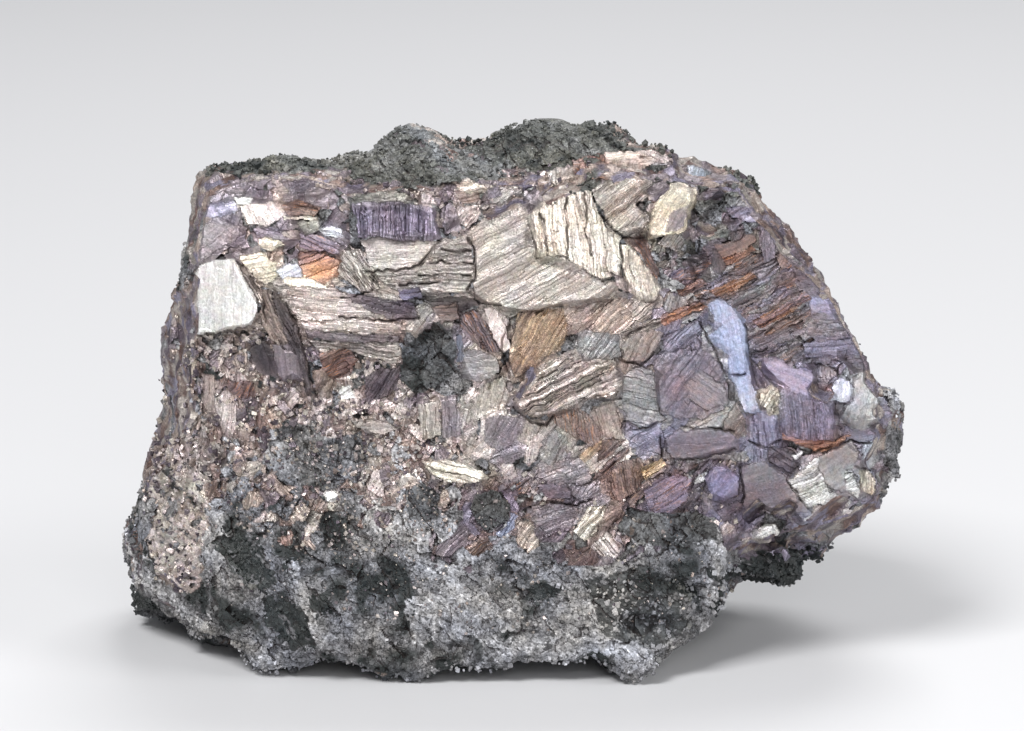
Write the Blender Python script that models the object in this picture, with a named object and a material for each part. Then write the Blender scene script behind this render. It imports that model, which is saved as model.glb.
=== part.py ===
"""A hand specimen of native bismuth in its rock, as one closed faceted solid.

The front is drawn in a view of 1024 x 731 pixels that looks down on it a little. An outline is a
list of places in that view, each with its depth behind the front face in millimetres. Everything
else is in millimetres, +Z up, until the finished mesh is scaled to metres.
"""
import math
import random

import bmesh
import bpy
import numpy as np
from mathutils import Vector, kdtree, noise

# Driving dimensions, in millimetres
WIDTH = 72.0
ROUGH_VOXEL = 0.42
FINE_VOXEL = 0.34
BROAD_FACETS = (12.5, 1.0)
SMALL_FACETS = (5.4, 0.6)
FRONT_CELL = 3.4
GRAIN_LIFT = 0.75
GRAIN_REACH = 2.2
MAX_TRIANGLES = 9300
FRONT_CARE = 0.6
METRE = 0.001

# The view that the front was drawn in
VIEW_DISTANCE = 450.0
VIEW_TILT = math.radians(12.0)
VIEW_CENTRE = (512.0, 365.5)
VIEW_ORIGIN = (0.42, -14.7, 27.95)
STAR_CENTRE = (500.0, 420.0)

# Rings and rays of the first rough body
RAYS = 260
CAP_RINGS = 26
SIDE_RINGS = 8
SECTORS = 150

# Edge of the front face, clockwise from the upper left: view x, view y, depth
FRONT_EDGE = [
    (196, 186, 3.4), (240, 166, 3.4), (285, 164, 3.4), (320, 168, 3.2), (350, 183, 2.6),
    (420, 182, 2.4), (446, 190, 3.2), (455, 180, 3.4), (520, 180, 3.2), (560, 175, 3.2),
    (600, 168, 3.6), (650, 163, 4.6), (700, 168, 5.6), (742, 186, 6.4), (775, 226, 6.6),
    (806, 266, 6.8), (832, 318, 6.8), (858, 366, 6.8), (884, 398, 6.6), (890, 440, 7.2),
    (880, 485, 7.8), (864, 512, 8.0), (840, 532, 8.0), (800, 539, 7.4), (780, 544, 6.8),
    (738, 552, 5.2), (712, 582, 3.6), (700, 614, 3.0), (680, 640, 2.4), (652, 664, 1.6),
    (630, 674, 1.2), (606, 656, 1.6), (560, 652, 1.6), (500, 659, 1.3), (460, 660, 1.3),
    (420, 672, 1.1), (400, 670, 1.1), (372, 669, 1.2), (345, 654, 1.8), (300, 662, 2.2),
    (262, 662, 2.8), (226, 642, 4.4), (203, 618, 5.6), (192, 590, 6.2), (190, 540, 5.6),
    (192, 480, 5.2), (192, 430, 4.8), (180, 392, 4.6), (182, 350, 4.0), (184, 310, 3.4),
    (190, 265, 3.2), (192, 220, 3.2),
]

# Between the front edge and the outermost outline, clockwise: view x, view y, depth
SHOULDER = [
    (200, 178, 6.5), (240, 160, 8), (330, 163, 8), (390, 152, 10), (440, 158, 10), (520, 148, 11),
    (600, 142, 10), (650, 152, 8.5), (706, 162, 8.2), (758, 190, 8.4), (802, 246, 8.6),
    (842, 310, 8.7), (880, 378, 8.5), (900, 410, 9), (897, 450, 9.4), (888, 490, 10.4),
    (864, 516, 11), (838, 537, 12), (806, 544, 13), (775, 550, 12), (745, 562, 9), (722, 598, 6),
    (706, 622, 5), (680, 646, 4), (650, 672, 2.2), (630, 681, 1.8), (602, 662, 2.4), (500, 666, 2),
    (400, 676, 1.8), (340, 660, 2.8), (262, 670, 4.2), (215, 645, 8), (170, 622, 14),
    (146, 590, 15), (148, 530, 13), (164, 450, 11), (170, 400, 10), (171, 330, 7.4),
    (184, 265, 5.2), (189, 210, 4.6),
]

# Outermost outline, clockwise from the upper left: view x, view y, depth
SILHOUETTE = [
    (189, 190, 6), (193, 182, 7), (200, 173, 9), (210, 162, 11), (232, 158, 12), (255, 155, 13),
    (278, 151, 14), (305, 156, 13), (335, 158, 12), (350, 149, 14), (366, 151, 14), (380, 143, 15),
    (390, 127, 17), (415, 123, 17), (435, 128, 17), (450, 137, 16), (480, 136, 16), (495, 132, 16),
    (510, 122, 18), (540, 117, 18), (558, 121, 17), (600, 120, 16), (620, 121, 15), (637, 139, 12),
    (662, 142, 12), (672, 150, 11), (702, 157, 11), (714, 166, 10), (732, 166, 10), (750, 173, 10),
    (760, 188, 10), (770, 210, 10), (788, 220, 10), (800, 238, 10), (815, 262, 10), (836, 290, 10),
    (848, 315, 10), (862, 340, 10), (875, 365, 10), (897, 385, 10), (907, 405, 10), (904, 438, 11),
    (901, 475, 11), (893, 493, 12), (868, 518, 13), (850, 535, 14), (836, 543, 15), (828, 557, 16),
    (817, 577, 17), (808, 583, 17), (788, 595, 17), (765, 592, 16), (747, 586, 14), (738, 598, 10),
    (722, 612, 8), (718, 624, 7), (702, 638, 6), (685, 650, 5), (668, 658, 4), (652, 678, 3),
    (628, 686, 2.5), (618, 680, 2.5), (600, 667, 3), (550, 665, 3), (530, 662, 3), (500, 673, 2.5),
    (462, 672, 2.5), (440, 673, 2.5), (420, 684, 2.5), (400, 680, 2.5), (380, 683, 2.5),
    (358, 671, 3), (345, 665, 3.5), (325, 668, 4), (297, 676, 4.5), (270, 678, 5), (243, 668, 7),
    (225, 659, 9), (207, 648, 11), (190, 638, 14), (170, 631, 17), (140, 620, 21), (133, 612, 22),
    (130, 600, 22), (121, 588, 22), (128, 570, 21), (119, 540, 21), (122, 525, 20), (133, 500, 19),
    (140, 478, 18), (150, 440, 17), (158, 415, 15), (156, 390, 14), (157, 360, 13), (158, 340, 12),
    (163, 322, 11), (167, 305, 10), (175, 285, 9), (179, 270, 8), (181, 245, 7), (185, 215, 6),
]

# Depth of the front face away from its edge: view x, view y, depth
FRONT_DEPTHS = [
    (250, 215, 2.4), (300, 200, 2.6), (400, 215, 1.6), (480, 215, 1.5), (560, 215, 1.2),
    (640, 210, 2.0), (710, 215, 3.6), (220, 300, 1.6), (300, 300, 1.5), (400, 270, 0.8),
    (500, 265, 0.5), (600, 255, 0.7), (700, 280, 2.0), (770, 310, 4.0), (240, 400, 3.0),
    (330, 400, 3.0), (430, 360, 2.0), (500, 330, 1.1), (560, 385, 0.3), (650, 380, 1.1),
    (725, 360, 1.5), (800, 400, 3.2), (850, 445, 4.8), (240, 480, 3.0), (330, 470, 2.4),
    (430, 460, 1.8), (490, 510, 1.2), (600, 500, 1.3), (700, 480, 1.9), (790, 490, 3.8),
    (230, 560, 2.2), (300, 560, 0.9), (400, 560, 0.4), (500, 560, 0.6), (600, 570, 0.5),
    (680, 560, 1.4), (280, 630, 1.2), (400, 630, 0.1), (500, 620, 0.3), (620, 620, 0.2),
]

# Edge and middle of the back, clockwise as seen from the front, in millimetres: x, y, z
BACK_EDGE = [
    (-27, 12.5, 37), (-18, 15, 40.5), (-6, 15.5, 41.5), (6, 16, 42), (16, 15.5, 38.5),
    (24, 14, 32), (29, 12.5, 25), (31, 12, 18), (27, 13, 9.5), (18, 12, 5), (10, 11, 3),
    (-2, 12, 2.6), (-14, 13, 2.6), (-24, 12.5, 2.8), (-31, 12, 7), (-33, 13, 14), (-31, 14, 26),
    (-29, 13.5, 32),
]
BACK_MIDDLE = [
    (0, 18.5, 24), (-16, 18, 26), (14, 17.5, 28), (-18, 17, 10), (10, 15.5, 11), (0, 17.5, 35),
    (22, 15, 20), (-27, 15.5, 18),
]

# Rounded lumps grown into the body, in millimetres: x, y, z, radius
LUMPS = [
    (-28.0, 3.0, 7.5, 7.0), (6.0, 3.0, 40.0, 5.0), (-7.0, 4.0, 40.6, 4.4), (24.0, 2.0, 12.5, 6.0),
]

# Low spots that it stands on, in millimetres: x, y, radius, depth cut off by the floor
FEET = [
    (-20.5, -11.5, 3.6, 0.4), (-9.8, -16.4, 3.0, 0.4), (10.8, -16.6, 3.4, 0.5), (14.0, 6.5, 4.6, 1.5),
    (-23.0, 8.0, 4.6, 1.5),
]
UNDERSIDE_GAP = 1.6

# The rough grey rock of the lower front, where nothing lies in flat grains
MATRIX = [
    (110, 500), (195, 462), (262, 468), (330, 498), (430, 520), (520, 560), (600, 562), (690, 530),
    (742, 512), (770, 560), (740, 640), (640, 700), (120, 700),
]

# Main grains of the front face. Each has its outline in the view, how far it stands out in
# millimetres, its slope to the right and down (millimetres out per millimetre), and the angle,
# width and height of its layers, in degrees and millimetres. A width of 0 is one flat face.
GRAINS = {
    "slope_layers": (
        [(664, 262), (700, 232), (762, 214), (800, 262), (838, 318), (850, 352), (800, 352),
         (752, 352), (748, 330), (722, 300), (690, 292)], 0.5, 0.0, 0.0, 27, 2.1, 0.85),
    "mauve_facets": (
        [(190, 212), (232, 196), (292, 206), (300, 240), (262, 252), (216, 256), (190, 268)],
        0.5, 0.05, 0.0, 20, 2.6, 0.5),
    "cream_mid_left": (
        [(292, 288), (345, 250), (372, 272), (412, 296), (400, 330), (350, 344), (306, 340)],
        0.9, 0.0, -0.03, -12, 2.0, 0.6),
    "orange_rim": (
        [(240, 258), (290, 252), (330, 250), (342, 266), (318, 286), (270, 286)],
        0.2, 0.0, 0.06, 0, 0.0, 0.0),
    "cream_upper": (
        [(352, 242), (378, 238), (438, 241), (432, 252), (422, 265), (400, 270), (366, 270)],
        0.5, 0.0, 0.03, 0, 0.0, 0.0),
    "cream_laminated": (
        [(440, 238), (470, 236), (474, 280), (470, 293), (420, 295), (390, 285), (372, 275),
         (400, 270), (422, 265)], 0.9, 0.0, -0.04, 4, 1.5, 0.5),
    "central_diagonal": (
        [(465, 232), (490, 215), (520, 200), (530, 215), (533, 255), (560, 260), (600, 280),
         (625, 283), (600, 300), (560, 307), (520, 310), (475, 298), (472, 250)],
        1.1, 0.02, 0.04, 30, 2.4, 0.35),
    "vertical_plates": (
        [(530, 214), (540, 205), (560, 190), (590, 182), (592, 200), (620, 235), (622, 278),
         (600, 280), (570, 265), (535, 257)], 1.6, -0.03, 0.03, 100, 1.7, 0.5),
    "right_cream": (
        [(622, 240), (640, 246), (655, 275), (658, 290), (648, 300), (632, 292), (622, 262)],
        1.4, 0.05, 0.0, 110, 1.2, 0.4),
    "grey_lamellar": (
        [(592, 198), (612, 180), (620, 170), (632, 163), (645, 168), (651, 180), (636, 205),
         (648, 228), (622, 235), (608, 225)], 1.2, 0.0, 0.0, 42, 1.2, 0.5),
    "cream_yellow": (
        [(652, 215), (655, 195), (663, 183), (680, 182), (698, 190), (683, 232), (665, 236),
         (646, 238)], 1.2, 0.03, 0.0, 0, 0.0, 0.0),
    "violet_comb": (
        [(352, 203), (400, 203), (435, 207), (440, 240), (372, 238), (358, 238)],
        1.1, 0.0, 0.02, 92, 1.3, 0.55),
    "white_cleavage": (
        [(200, 264), (213, 258), (232, 258), (245, 280), (260, 312), (250, 325), (230, 330),
         (192, 333), (183, 300), (190, 285)], 1.3, 0.05, 0.0, 0, 0.0, 0.0),
    "blue_sheet": (
        [(700, 298), (715, 292), (735, 310), (745, 325), (750, 365), (760, 412), (745, 412),
         (728, 375), (722, 340), (705, 312)], 1.1, -0.04, 0.0, 0, 0.0, 0.0),
    "mauve_rings": (
        [(655, 360), (700, 345), (720, 365), (728, 385), (725, 410), (680, 425), (660, 410)],
        0.8, 0.0, 0.02, 62, 2.4, 0.35),
    "mauve_oval": (
        [(663, 440), (700, 428), (730, 432), (740, 440), (738, 450), (690, 460), (670, 460)],
        0.8, 0.0, 0.0, 0, 0.0, 0.0),
    "lilac_plate": (
        [(760, 358), (778, 355), (790, 365), (815, 372), (815, 397), (780, 385), (761, 365)],
        1.3, 0.0, 0.05, 0, 0.0, 0.0),
    "blue_hexagon": (
        [(832, 395), (835, 382), (843, 377), (850, 382), (851, 395), (845, 402)],
        1.4, 0.0, 0.0, 0, 0.0, 0.0),
    "violet_block": (
        [(778, 392), (800, 388), (833, 398), (835, 420), (833, 440), (800, 447), (782, 440)],
        1.1, 0.02, 0.0, 92, 1.7, 0.45),
    "violet_neighbour": (
        [(750, 412), (768, 410), (778, 415), (778, 440), (765, 460), (752, 462)],
        0.6, 0.0, 0.0, 95, 1.2, 0.3),
    "pale_corner": (
        [(855, 372), (880, 374), (878, 420), (850, 425), (838, 410), (851, 400)],
        0.9, 0.0, 0.0, 0, 0.0, 0.0),
    "white_striated": (
        [(788, 480), (800, 470), (817, 457), (820, 470), (843, 498), (835, 505), (806, 505)],
        1.0, 0.03, 0.0, 20, 1.2, 0.4),
    "grey_corner": (
        [(818, 456), (845, 446), (858, 460), (858, 490), (845, 492), (828, 484)],
        1.0, 0.0, 0.0, 0, 0.0, 0.0),
    "grey_mauve": (
        [(742, 468), (765, 462), (785, 475), (798, 500), (780, 512), (745, 500)],
        0.7, 0.0, 0.04, 0, 0.0, 0.0),
    "blue_lump": (
        [(705, 478), (712, 468), (728, 465), (738, 478), (738, 492), (725, 500), (712, 497)],
        0.9, 0.0, 0.0, 0, 0.0, 0.0),
    "white_lump": (
        [(755, 530), (768, 525), (780, 532), (778, 541), (765, 546), (757, 540)],
        1.0, 0.0, 0.0, 0, 0.0, 0.0),
    "driftwood": (
        [(513, 400), (530, 380), (532, 370), (548, 358), (575, 352), (582, 360), (612, 360),
         (620, 385), (618, 397), (585, 402), (540, 418), (525, 415)],
        1.9, 0.0, 0.03, 27, 1.7, 0.8),
    "golden": (
        [(520, 310), (560, 306), (575, 315), (570, 335), (545, 358), (515, 375), (512, 350)],
        0.7, 0.0, 0.0, 57, 1.5, 0.4),
    "pink_sliver": (
        [(485, 308), (495, 306), (508, 335), (510, 352), (492, 340), (487, 325)],
        1.0, 0.0, 0.0, 0, 0.0, 0.0),
    "tan_block": (
        [(575, 320), (640, 300), (662, 320), (655, 356), (622, 362), (584, 356)],
        0.6, 0.0, 0.0, 35, 2.2, 0.4),
    "dark_lath": (
        [(262, 288), (270, 288), (297, 330), (318, 385), (306, 394), (290, 355), (262, 305)],
        1.6, 0.0, 0.0, 0, 0.0, 0.0),
    "grey_facet": (
        [(272, 344), (300, 346), (300, 378), (276, 380)], 0.9, 0.06, 0.0, 0, 0.0, 0.0),
    "black_facet": (
        [(250, 344), (270, 342), (272, 376), (252, 378)], -0.4, -0.05, 0.0, 0, 0.0, 0.0),
    "dark_patch": (
        [(403, 345), (430, 326), (458, 330), (462, 372), (440, 396), (408, 388)],
        -0.7, 0.0, 0.0, 0, 0.0, 0.0),
    "grey_lens": (
        [(460, 352), (482, 348), (500, 362), (496, 378), (470, 382)], 0.7, 0.0, 0.0, 0, 0.0, 0.0),
    "cream_blade": (
        [(420, 460), (445, 456), (487, 476), (475, 486), (450, 484), (430, 477)],
        0.9, 0.0, 0.05, 0, 0.0, 0.0),
    "low_layers": (
        [(520, 496), (560, 470), (620, 470), (616, 520), (590, 556), (540, 552)],
        0.5, 0.0, 0.0, 48, 2.0, 0.6),
    "purple_grain": (
        [(642, 464), (690, 462), (692, 500), (664, 514), (640, 500)],
        0.7, 0.0, 0.0, 0, 0.0, 0.0),
    "dark_pit": (
        [(170, 386), (190, 388), (192, 401), (172, 402)], -1.3, 0.0, 0.0, 0, 0.0, 0.0),
    "green_pit": (
        [(215, 534), (240, 526), (262, 545), (276, 588), (250, 584), (222, 560)],
        -0.9, 0.05, 0.0, 0, 0.0, 0.0),
    "green_face": (
        [(262, 590), (290, 600), (316, 648), (292, 652), (270, 626)],
        -0.5, -0.05, 0.0, 0, 0.0, 0.0),
    "pale_vein": (
        [(282, 560), (292, 560), (332, 640), (322, 652), (296, 612)],
        0.7, 0.0, 0.0, 0, 0.0, 0.0),
    "black_ledge": (
        [(590, 590), (660, 572), (694, 600), (676, 616), (610, 618)],
        -0.6, 0.0, 0.05, 0, 0.0, 0.0),
    "dark_lens": (
        [(522, 590), (545, 582), (564, 592), (548, 602), (524, 602)],
        -0.6, 0.0, 0.0, 0, 0.0, 0.0),
}


def view_to_room(px, py, depth):
    """Places in the view, with their depths, as points in the room."""
    spread = MM_PER_PIXEL * (1.0 + depth / VIEW_DISTANCE)
    right = (px - VIEW_CENTRE[0]) * spread
    up = (VIEW_CENTRE[1] - py) * spread
    room = (right, up * math.sin(VIEW_TILT) + depth * math.cos(VIEW_TILT),
            up * math.cos(VIEW_TILT) - depth * math.sin(VIEW_TILT))
    return np.stack(room, axis=-1) + np.array(VIEW_ORIGIN)


def room_to_view(points):
    """The other way round: points in the room as places in the view and depths."""
    offset = points - np.array(VIEW_ORIGIN)
    depth = offset[..., 1] * math.cos(VIEW_TILT) - offset[..., 2] * math.sin(VIEW_TILT)
    up = offset[..., 1] * math.sin(VIEW_TILT) + offset[..., 2] * math.cos(VIEW_TILT)
    spread = MM_PER_PIXEL * (1.0 + depth / VIEW_DISTANCE)
    return VIEW_CENTRE[0] + offset[..., 0] / spread, VIEW_CENTRE[1] - up / spread, depth


def pixel_size():
    """Millimetres per pixel at the front face, from the width that the outline has to reach."""
    spans = [(px - VIEW_CENTRE[0]) * (1.0 + depth / VIEW_DISTANCE) for px, py, depth in SILHOUETTE]
    return WIDTH / (max(spans) - min(spans))


MM_PER_PIXEL = pixel_size()


def smooth_field(places, values, scale=100.0):
    """A smooth function through values given at places, a thin plate bent to pass them all."""
    places = np.asarray(places, dtype=float) / scale
    values = np.asarray(values, dtype=float)
    count = len(places)

    def kernel(distance):
        return distance ** 2 * np.log(np.maximum(distance, 1e-9))

    gaps = np.linalg.norm(places[:, None] - places[None], axis=-1)
    flat = np.hstack([np.ones((count, 1)), places])
    system = np.zeros((count + 3, count + 3))
    system[:count, :count] = kernel(gaps) + np.eye(count) * 0.002
    system[:count, count:] = flat
    system[count:, :count] = flat.T
    weights = np.linalg.solve(system, np.concatenate([values, np.zeros(3)]))

    def field(px, py):
        at = np.stack([px, py], axis=-1) / scale
        distance = np.linalg.norm(at[..., None, :] - places, axis=-1)
        return kernel(distance) @ weights[:count] + weights[count] + at @ weights[count + 1:]

    return field


def by_angle(outline, angles):
    """Radius and depth of a star-shaped outline, at each of the angles."""
    outline = np.asarray(outline, dtype=float)
    across = outline[:, 0] - STAR_CENTRE[0]
    up = STAR_CENTRE[1] - outline[:, 1]
    turn = np.arctan2(up, across)
    order = np.argsort(turn)
    radius = np.hypot(across, up)
    full = 2.0 * math.pi
    return (np.interp(angles, turn[order], radius[order], period=full),
            np.interp(angles, turn[order], outline[order, 2], period=full))


def rough_body():
    """The body without its relief, as rings of points from the front middle to the back middle."""
    angles = np.linspace(-math.pi, math.pi, RAYS, endpoint=False)
    edge_radius, edge_depth = by_angle(FRONT_EDGE, angles)
    shoulder_radius, shoulder_depth = by_angle(SHOULDER, angles)
    outer_radius, outer_depth = by_angle(SILHOUETTE, angles)
    back_px, back_py, back_depth = room_to_view(np.array(BACK_EDGE, dtype=float))
    back_outline = np.stack([back_px, back_py, back_depth], axis=-1)
    back_radius, back_rim_depth = by_angle(back_outline, angles)

    front = np.array(FRONT_EDGE + FRONT_DEPTHS, dtype=float)
    front_field = smooth_field(front[:, :2], front[:, 2])
    middle_px, middle_py, middle_depth = room_to_view(np.array(BACK_MIDDLE, dtype=float))
    back_places = np.vstack([back_outline, np.stack([middle_px, middle_py, middle_depth], axis=-1)])
    back_field = smooth_field(back_places[:, :2], back_places[:, 2])

    def place(radius, depth):
        px = STAR_CENTRE[0] + radius * np.cos(angles)
        py = STAR_CENTRE[1] - radius * np.sin(angles)
        return view_to_room(px, py, depth)

    def cap(radius, field):
        px = STAR_CENTRE[0] + radius * np.cos(angles)
        py = STAR_CENTRE[1] - radius * np.sin(angles)
        return view_to_room(px, py, field(px, py))

    rings = []
    for step in range(1, CAP_RINGS):
        rings.append(cap(edge_radius * step / CAP_RINGS, front_field))
    for step in range(SIDE_RINGS):
        share = step / SIDE_RINGS
        rings.append(place(edge_radius + (shoulder_radius - edge_radius) * share,
                           edge_depth + (shoulder_depth - edge_depth) * share))
    for step in range(SIDE_RINGS):
        share = step / SIDE_RINGS
        rings.append(place(shoulder_radius + (outer_radius - shoulder_radius) * share ** 0.8,
                           shoulder_depth + (outer_depth - shoulder_depth) * share))
    for step in range(SIDE_RINGS):
        share = step / SIDE_RINGS
        rings.append(place(outer_radius + (back_radius - outer_radius) * share ** 1.5,
                           outer_depth + (back_rim_depth - outer_depth) * share))
    for step in range(CAP_RINGS, 0, -1):
        rings.append(cap(back_radius * step / CAP_RINGS, back_field))

    centre = np.array(STAR_CENTRE)
    front_pole = view_to_room(centre[0], centre[1], front_field(*centre))
    back_pole = view_to_room(centre[0], centre[1], back_field(*centre))
    return rings, front_pole, back_pole


def closed_mesh(rings, front_pole, back_pole):
    """One closed skin over the rings, with a fan of faces at each pole."""
    body = bmesh.new()
    loops = [[body.verts.new(point) for point in ring] for ring in rings]
    front = body.verts.new(front_pole)
    back = body.verts.new(back_pole)
    for ray in range(RAYS):
        after = (ray + 1) % RAYS
        body.faces.new((front, loops[0][ray], loops[0][after]))
        body.faces.new((back, loops[-1][after], loops[-1][ray]))
        for inner, outer in zip(loops, loops[1:]):
            body.faces.new((inner[ray], outer[ray], outer[after], inner[after]))
    bmesh.ops.recalc_face_normals(body, faces=body.faces)
    return body


def add_lump(body, centre, radii, chance):
    """A rounded, slightly angular lump that the remesh then joins to the body."""
    made = bmesh.ops.create_icosphere(body, subdivisions=3, radius=1.0)
    for vert in made["verts"]:
        push = 1.0 + 0.16 * noise.noise(vert.co * 1.7 + Vector((chance, 0.0, 0.0)))
        vert.co = Vector([centre[axis] + vert.co[axis] * push * radii[axis] for axis in range(3)])


def evaluated(work, modifier_name):
    """The object's mesh with its modifiers applied, and the modifiers taken off."""
    graph = bpy.context.evaluated_depsgraph_get()
    mesh = bpy.data.meshes.new_from_object(work.evaluated_get(graph))
    old = work.data
    work.modifiers.remove(work.modifiers[modifier_name])
    work.data = mesh
    bpy.data.meshes.remove(old)
    return mesh


def remesh(work, voxel):
    """Joins all that overlaps into one even skin."""
    modifier = work.modifiers.new("Remesh", "REMESH")
    modifier.mode = "VOXEL"
    modifier.voxel_size = voxel
    modifier.adaptivity = 0.0
    evaluated(work, "Remesh")


def mesh_points(mesh):
    points = np.empty(len(mesh.vertices) * 3)
    mesh.vertices.foreach_get("co", points)
    normals = np.empty(len(mesh.vertices) * 3)
    mesh.vertices.foreach_get("normal", normals)
    return points.reshape(-1, 3), normals.reshape(-1, 3)


def set_points(mesh, points):
    mesh.vertices.foreach_set("co", points.ravel())
    mesh.update()


def inside(outline, px, py):
    """Which of the places lie inside the outline."""
    hit = np.zeros(px.shape, dtype=bool)
    for (x_a, y_a), (x_b, y_b) in zip(outline, outline[1:] + outline[:1]):
        if y_a == y_b:
            continue
        crosses = (y_a > py) != (y_b > py)
        hit ^= crosses & (px < (x_b - x_a) * (py - y_a) / (y_b - y_a) + x_a)
    return hit


def front_share(normals):
    """How far each point faces the viewer, from 0 on the sides to 1 on the front."""
    towards = normals[:, 1] * math.cos(VIEW_TILT) - normals[:, 2] * math.sin(VIEW_TILT)
    share = np.clip((-towards - 0.25) / 0.35, 0.0, 1.0)
    return share * share * (3.0 - 2.0 * share)


def bumps(points, size, depth, shift):
    """Smooth natural unevenness of about this size and depth."""
    place = Vector(shift)
    return np.array([noise.fractal(Vector(point) / size + place, 0.9, 2.1, 3) for point in points]) * depth


def spaced_choice(points, spacing, draw):
    """Points picked at random, none nearer to another than the spacing."""
    order = list(range(len(points)))
    draw.shuffle(order)
    kept = []
    cells = {}
    for index in order:
        cell = tuple(np.floor(points[index] / spacing).astype(int))
        near = [cells.get((cell[0] + i, cell[1] + j, cell[2] + k), [])
                for i in (-1, 0, 1) for j in (-1, 0, 1) for k in (-1, 0, 1)]
        if all(np.linalg.norm(points[index] - points[other]) > spacing for group in near for other in group):
            kept.append(index)
            cells.setdefault(cell, []).append(index)
    return kept


def nearest_seed(points, seeds):
    tree = kdtree.KDTree(len(seeds))
    for number, seed in enumerate(seeds):
        tree.insert(seed, number)
    tree.balance()
    return np.array([tree.find(point)[1] for point in points])


def broken_faces(points, normals, share, facets, seed):
    """Flat broken faces with ledges between them, on the top, sides, underside and back."""
    spacing, unevenness = facets
    draw = random.Random(seed)
    rest = np.flatnonzero(share < 0.9)
    chosen = spaced_choice(points[rest], spacing, draw)
    seeds = rest[chosen]
    owner = nearest_seed(points, points[seeds])
    moved = points.copy()
    for number, seed in enumerate(seeds):
        mine = np.flatnonzero(owner == number)
        facing = normals[mine].mean(axis=0)
        facing += np.array([draw.uniform(-0.16, 0.16) for axis in range(3)])
        facing /= np.linalg.norm(facing)
        middle = points[mine].mean(axis=0)
        level = draw.uniform(-unevenness, unevenness * 0.8)
        away = (points[mine] - middle) @ facing - level
        strength = (1.0 - share[mine]) * 0.85
        limit = 0.2 * spacing
        moved[mine] -= facing * (np.clip(away, -limit, limit) * strength)[:, None]
    return moved


def front_cells(points, share):
    """Small tilted flats over the front face, where no main grain lies."""
    draw = random.Random(5)
    px, py, depth = room_to_view(points)
    strength = np.where(inside(MATRIX, px, py), 0.3, 0.75)
    front = np.flatnonzero(share > 0.3)
    flat = np.stack([px[front], py[front], np.zeros(len(front))], axis=-1) * MM_PER_PIXEL
    seeds = flat[spaced_choice(flat, FRONT_CELL, draw)]
    owner = nearest_seed(flat, seeds)
    change = np.zeros(len(points))
    for number in range(len(seeds)):
        mine = front[owner == number]
        if len(mine) == 0:
            continue
        lean = (draw.uniform(-0.2, 0.2), draw.uniform(-0.2, 0.2))
        level = draw.uniform(-0.25, 0.25)
        across = (px[mine] - px[mine].mean()) * MM_PER_PIXEL
        down = (py[mine] - py[mine].mean()) * MM_PER_PIXEL
        plane = depth[mine].mean() + across * lean[0] + down * lean[1] - level
        change[mine] = (plane - depth[mine]) * strength[mine]
    return change


def grain_levels(points, change, share):
    """Lifts each main grain to its own flat face or its stepped layers."""
    px, py, depth = room_to_view(points)
    for number, (outline, lift, right, down, angle, width, step) in enumerate(GRAINS.values()):
        draw = random.Random(100 + number)
        levels = [draw.uniform(-0.5, 0.5) for count in range(64)]
        mine = np.flatnonzero(inside(outline, px, py) & (share > 0.3))
        mine = mine[np.abs(depth[mine] - np.median(depth[mine])) < GRAIN_REACH]
        across = (px[mine] - px[mine].mean()) * MM_PER_PIXEL
        below = (py[mine] - py[mine].mean()) * MM_PER_PIXEL
        frame = np.stack([np.ones(len(mine)), across, below], axis=-1)
        fitted = frame @ np.linalg.lstsq(frame, depth[mine], rcond=None)[0]
        plane = fitted - lift * GRAIN_LIFT - right * across - down * below
        if width > 0.0:
            turn = math.radians(angle)
            layer = np.floor((across * math.sin(turn) + below * math.cos(turn)) / width).astype(int)
            plane -= np.array([levels[index % 64] for index in layer]) * step
        change[mine] = plane - depth[mine]
    return change


def fit_outline(points):
    """Brings the outermost points back to the drawn outline, and leaves the middle alone."""
    px, py, depth = room_to_view(points)
    across = px - STAR_CENTRE[0]
    up = STAR_CENTRE[1] - py
    turn = np.arctan2(up, across)
    radius = np.hypot(across, up)
    sector = np.floor((turn + math.pi) / (2.0 * math.pi) * SECTORS).astype(int) % SECTORS
    reach = np.zeros(SECTORS)
    np.maximum.at(reach, sector, radius)
    middles = (np.arange(SECTORS) + 0.5) / SECTORS * 2.0 * math.pi - math.pi
    ratio = by_angle(SILHOUETTE, middles)[0] / reach
    full = 2.0 * math.pi
    local_ratio = np.interp(turn, middles, ratio, period=full)
    local_reach = np.interp(turn, middles, reach, period=full)
    weight = np.clip((radius / local_reach - 0.78) / 0.2, 0.0, 1.0)
    scale = 1.0 + (local_ratio - 1.0) * weight
    return view_to_room(STAR_CENTRE[0] + across * scale, STAR_CENTRE[1] - up * scale, depth)


def arch_underside(points):
    """Lifts the underside off the floor behind its front edge, except near the feet."""
    gaps = [np.hypot(points[:, 0] - x, points[:, 1] - y) - radius * 0.6 for x, y, radius, sink in FEET]
    away = np.clip(np.min(gaps, axis=0) / 3.0, 0.0, 1.0)
    behind = np.clip((points[:, 1] + 16.0) / 4.0, 0.0, 1.0) * np.clip((points[:, 0] + 28.0) / 6.0, 0.0, 1.0)
    low = np.clip(1.0 - points[:, 2] / 5.0, 0.0, 1.0)
    points[:, 2] += UNDERSIDE_GAP * away * behind * low


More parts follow.
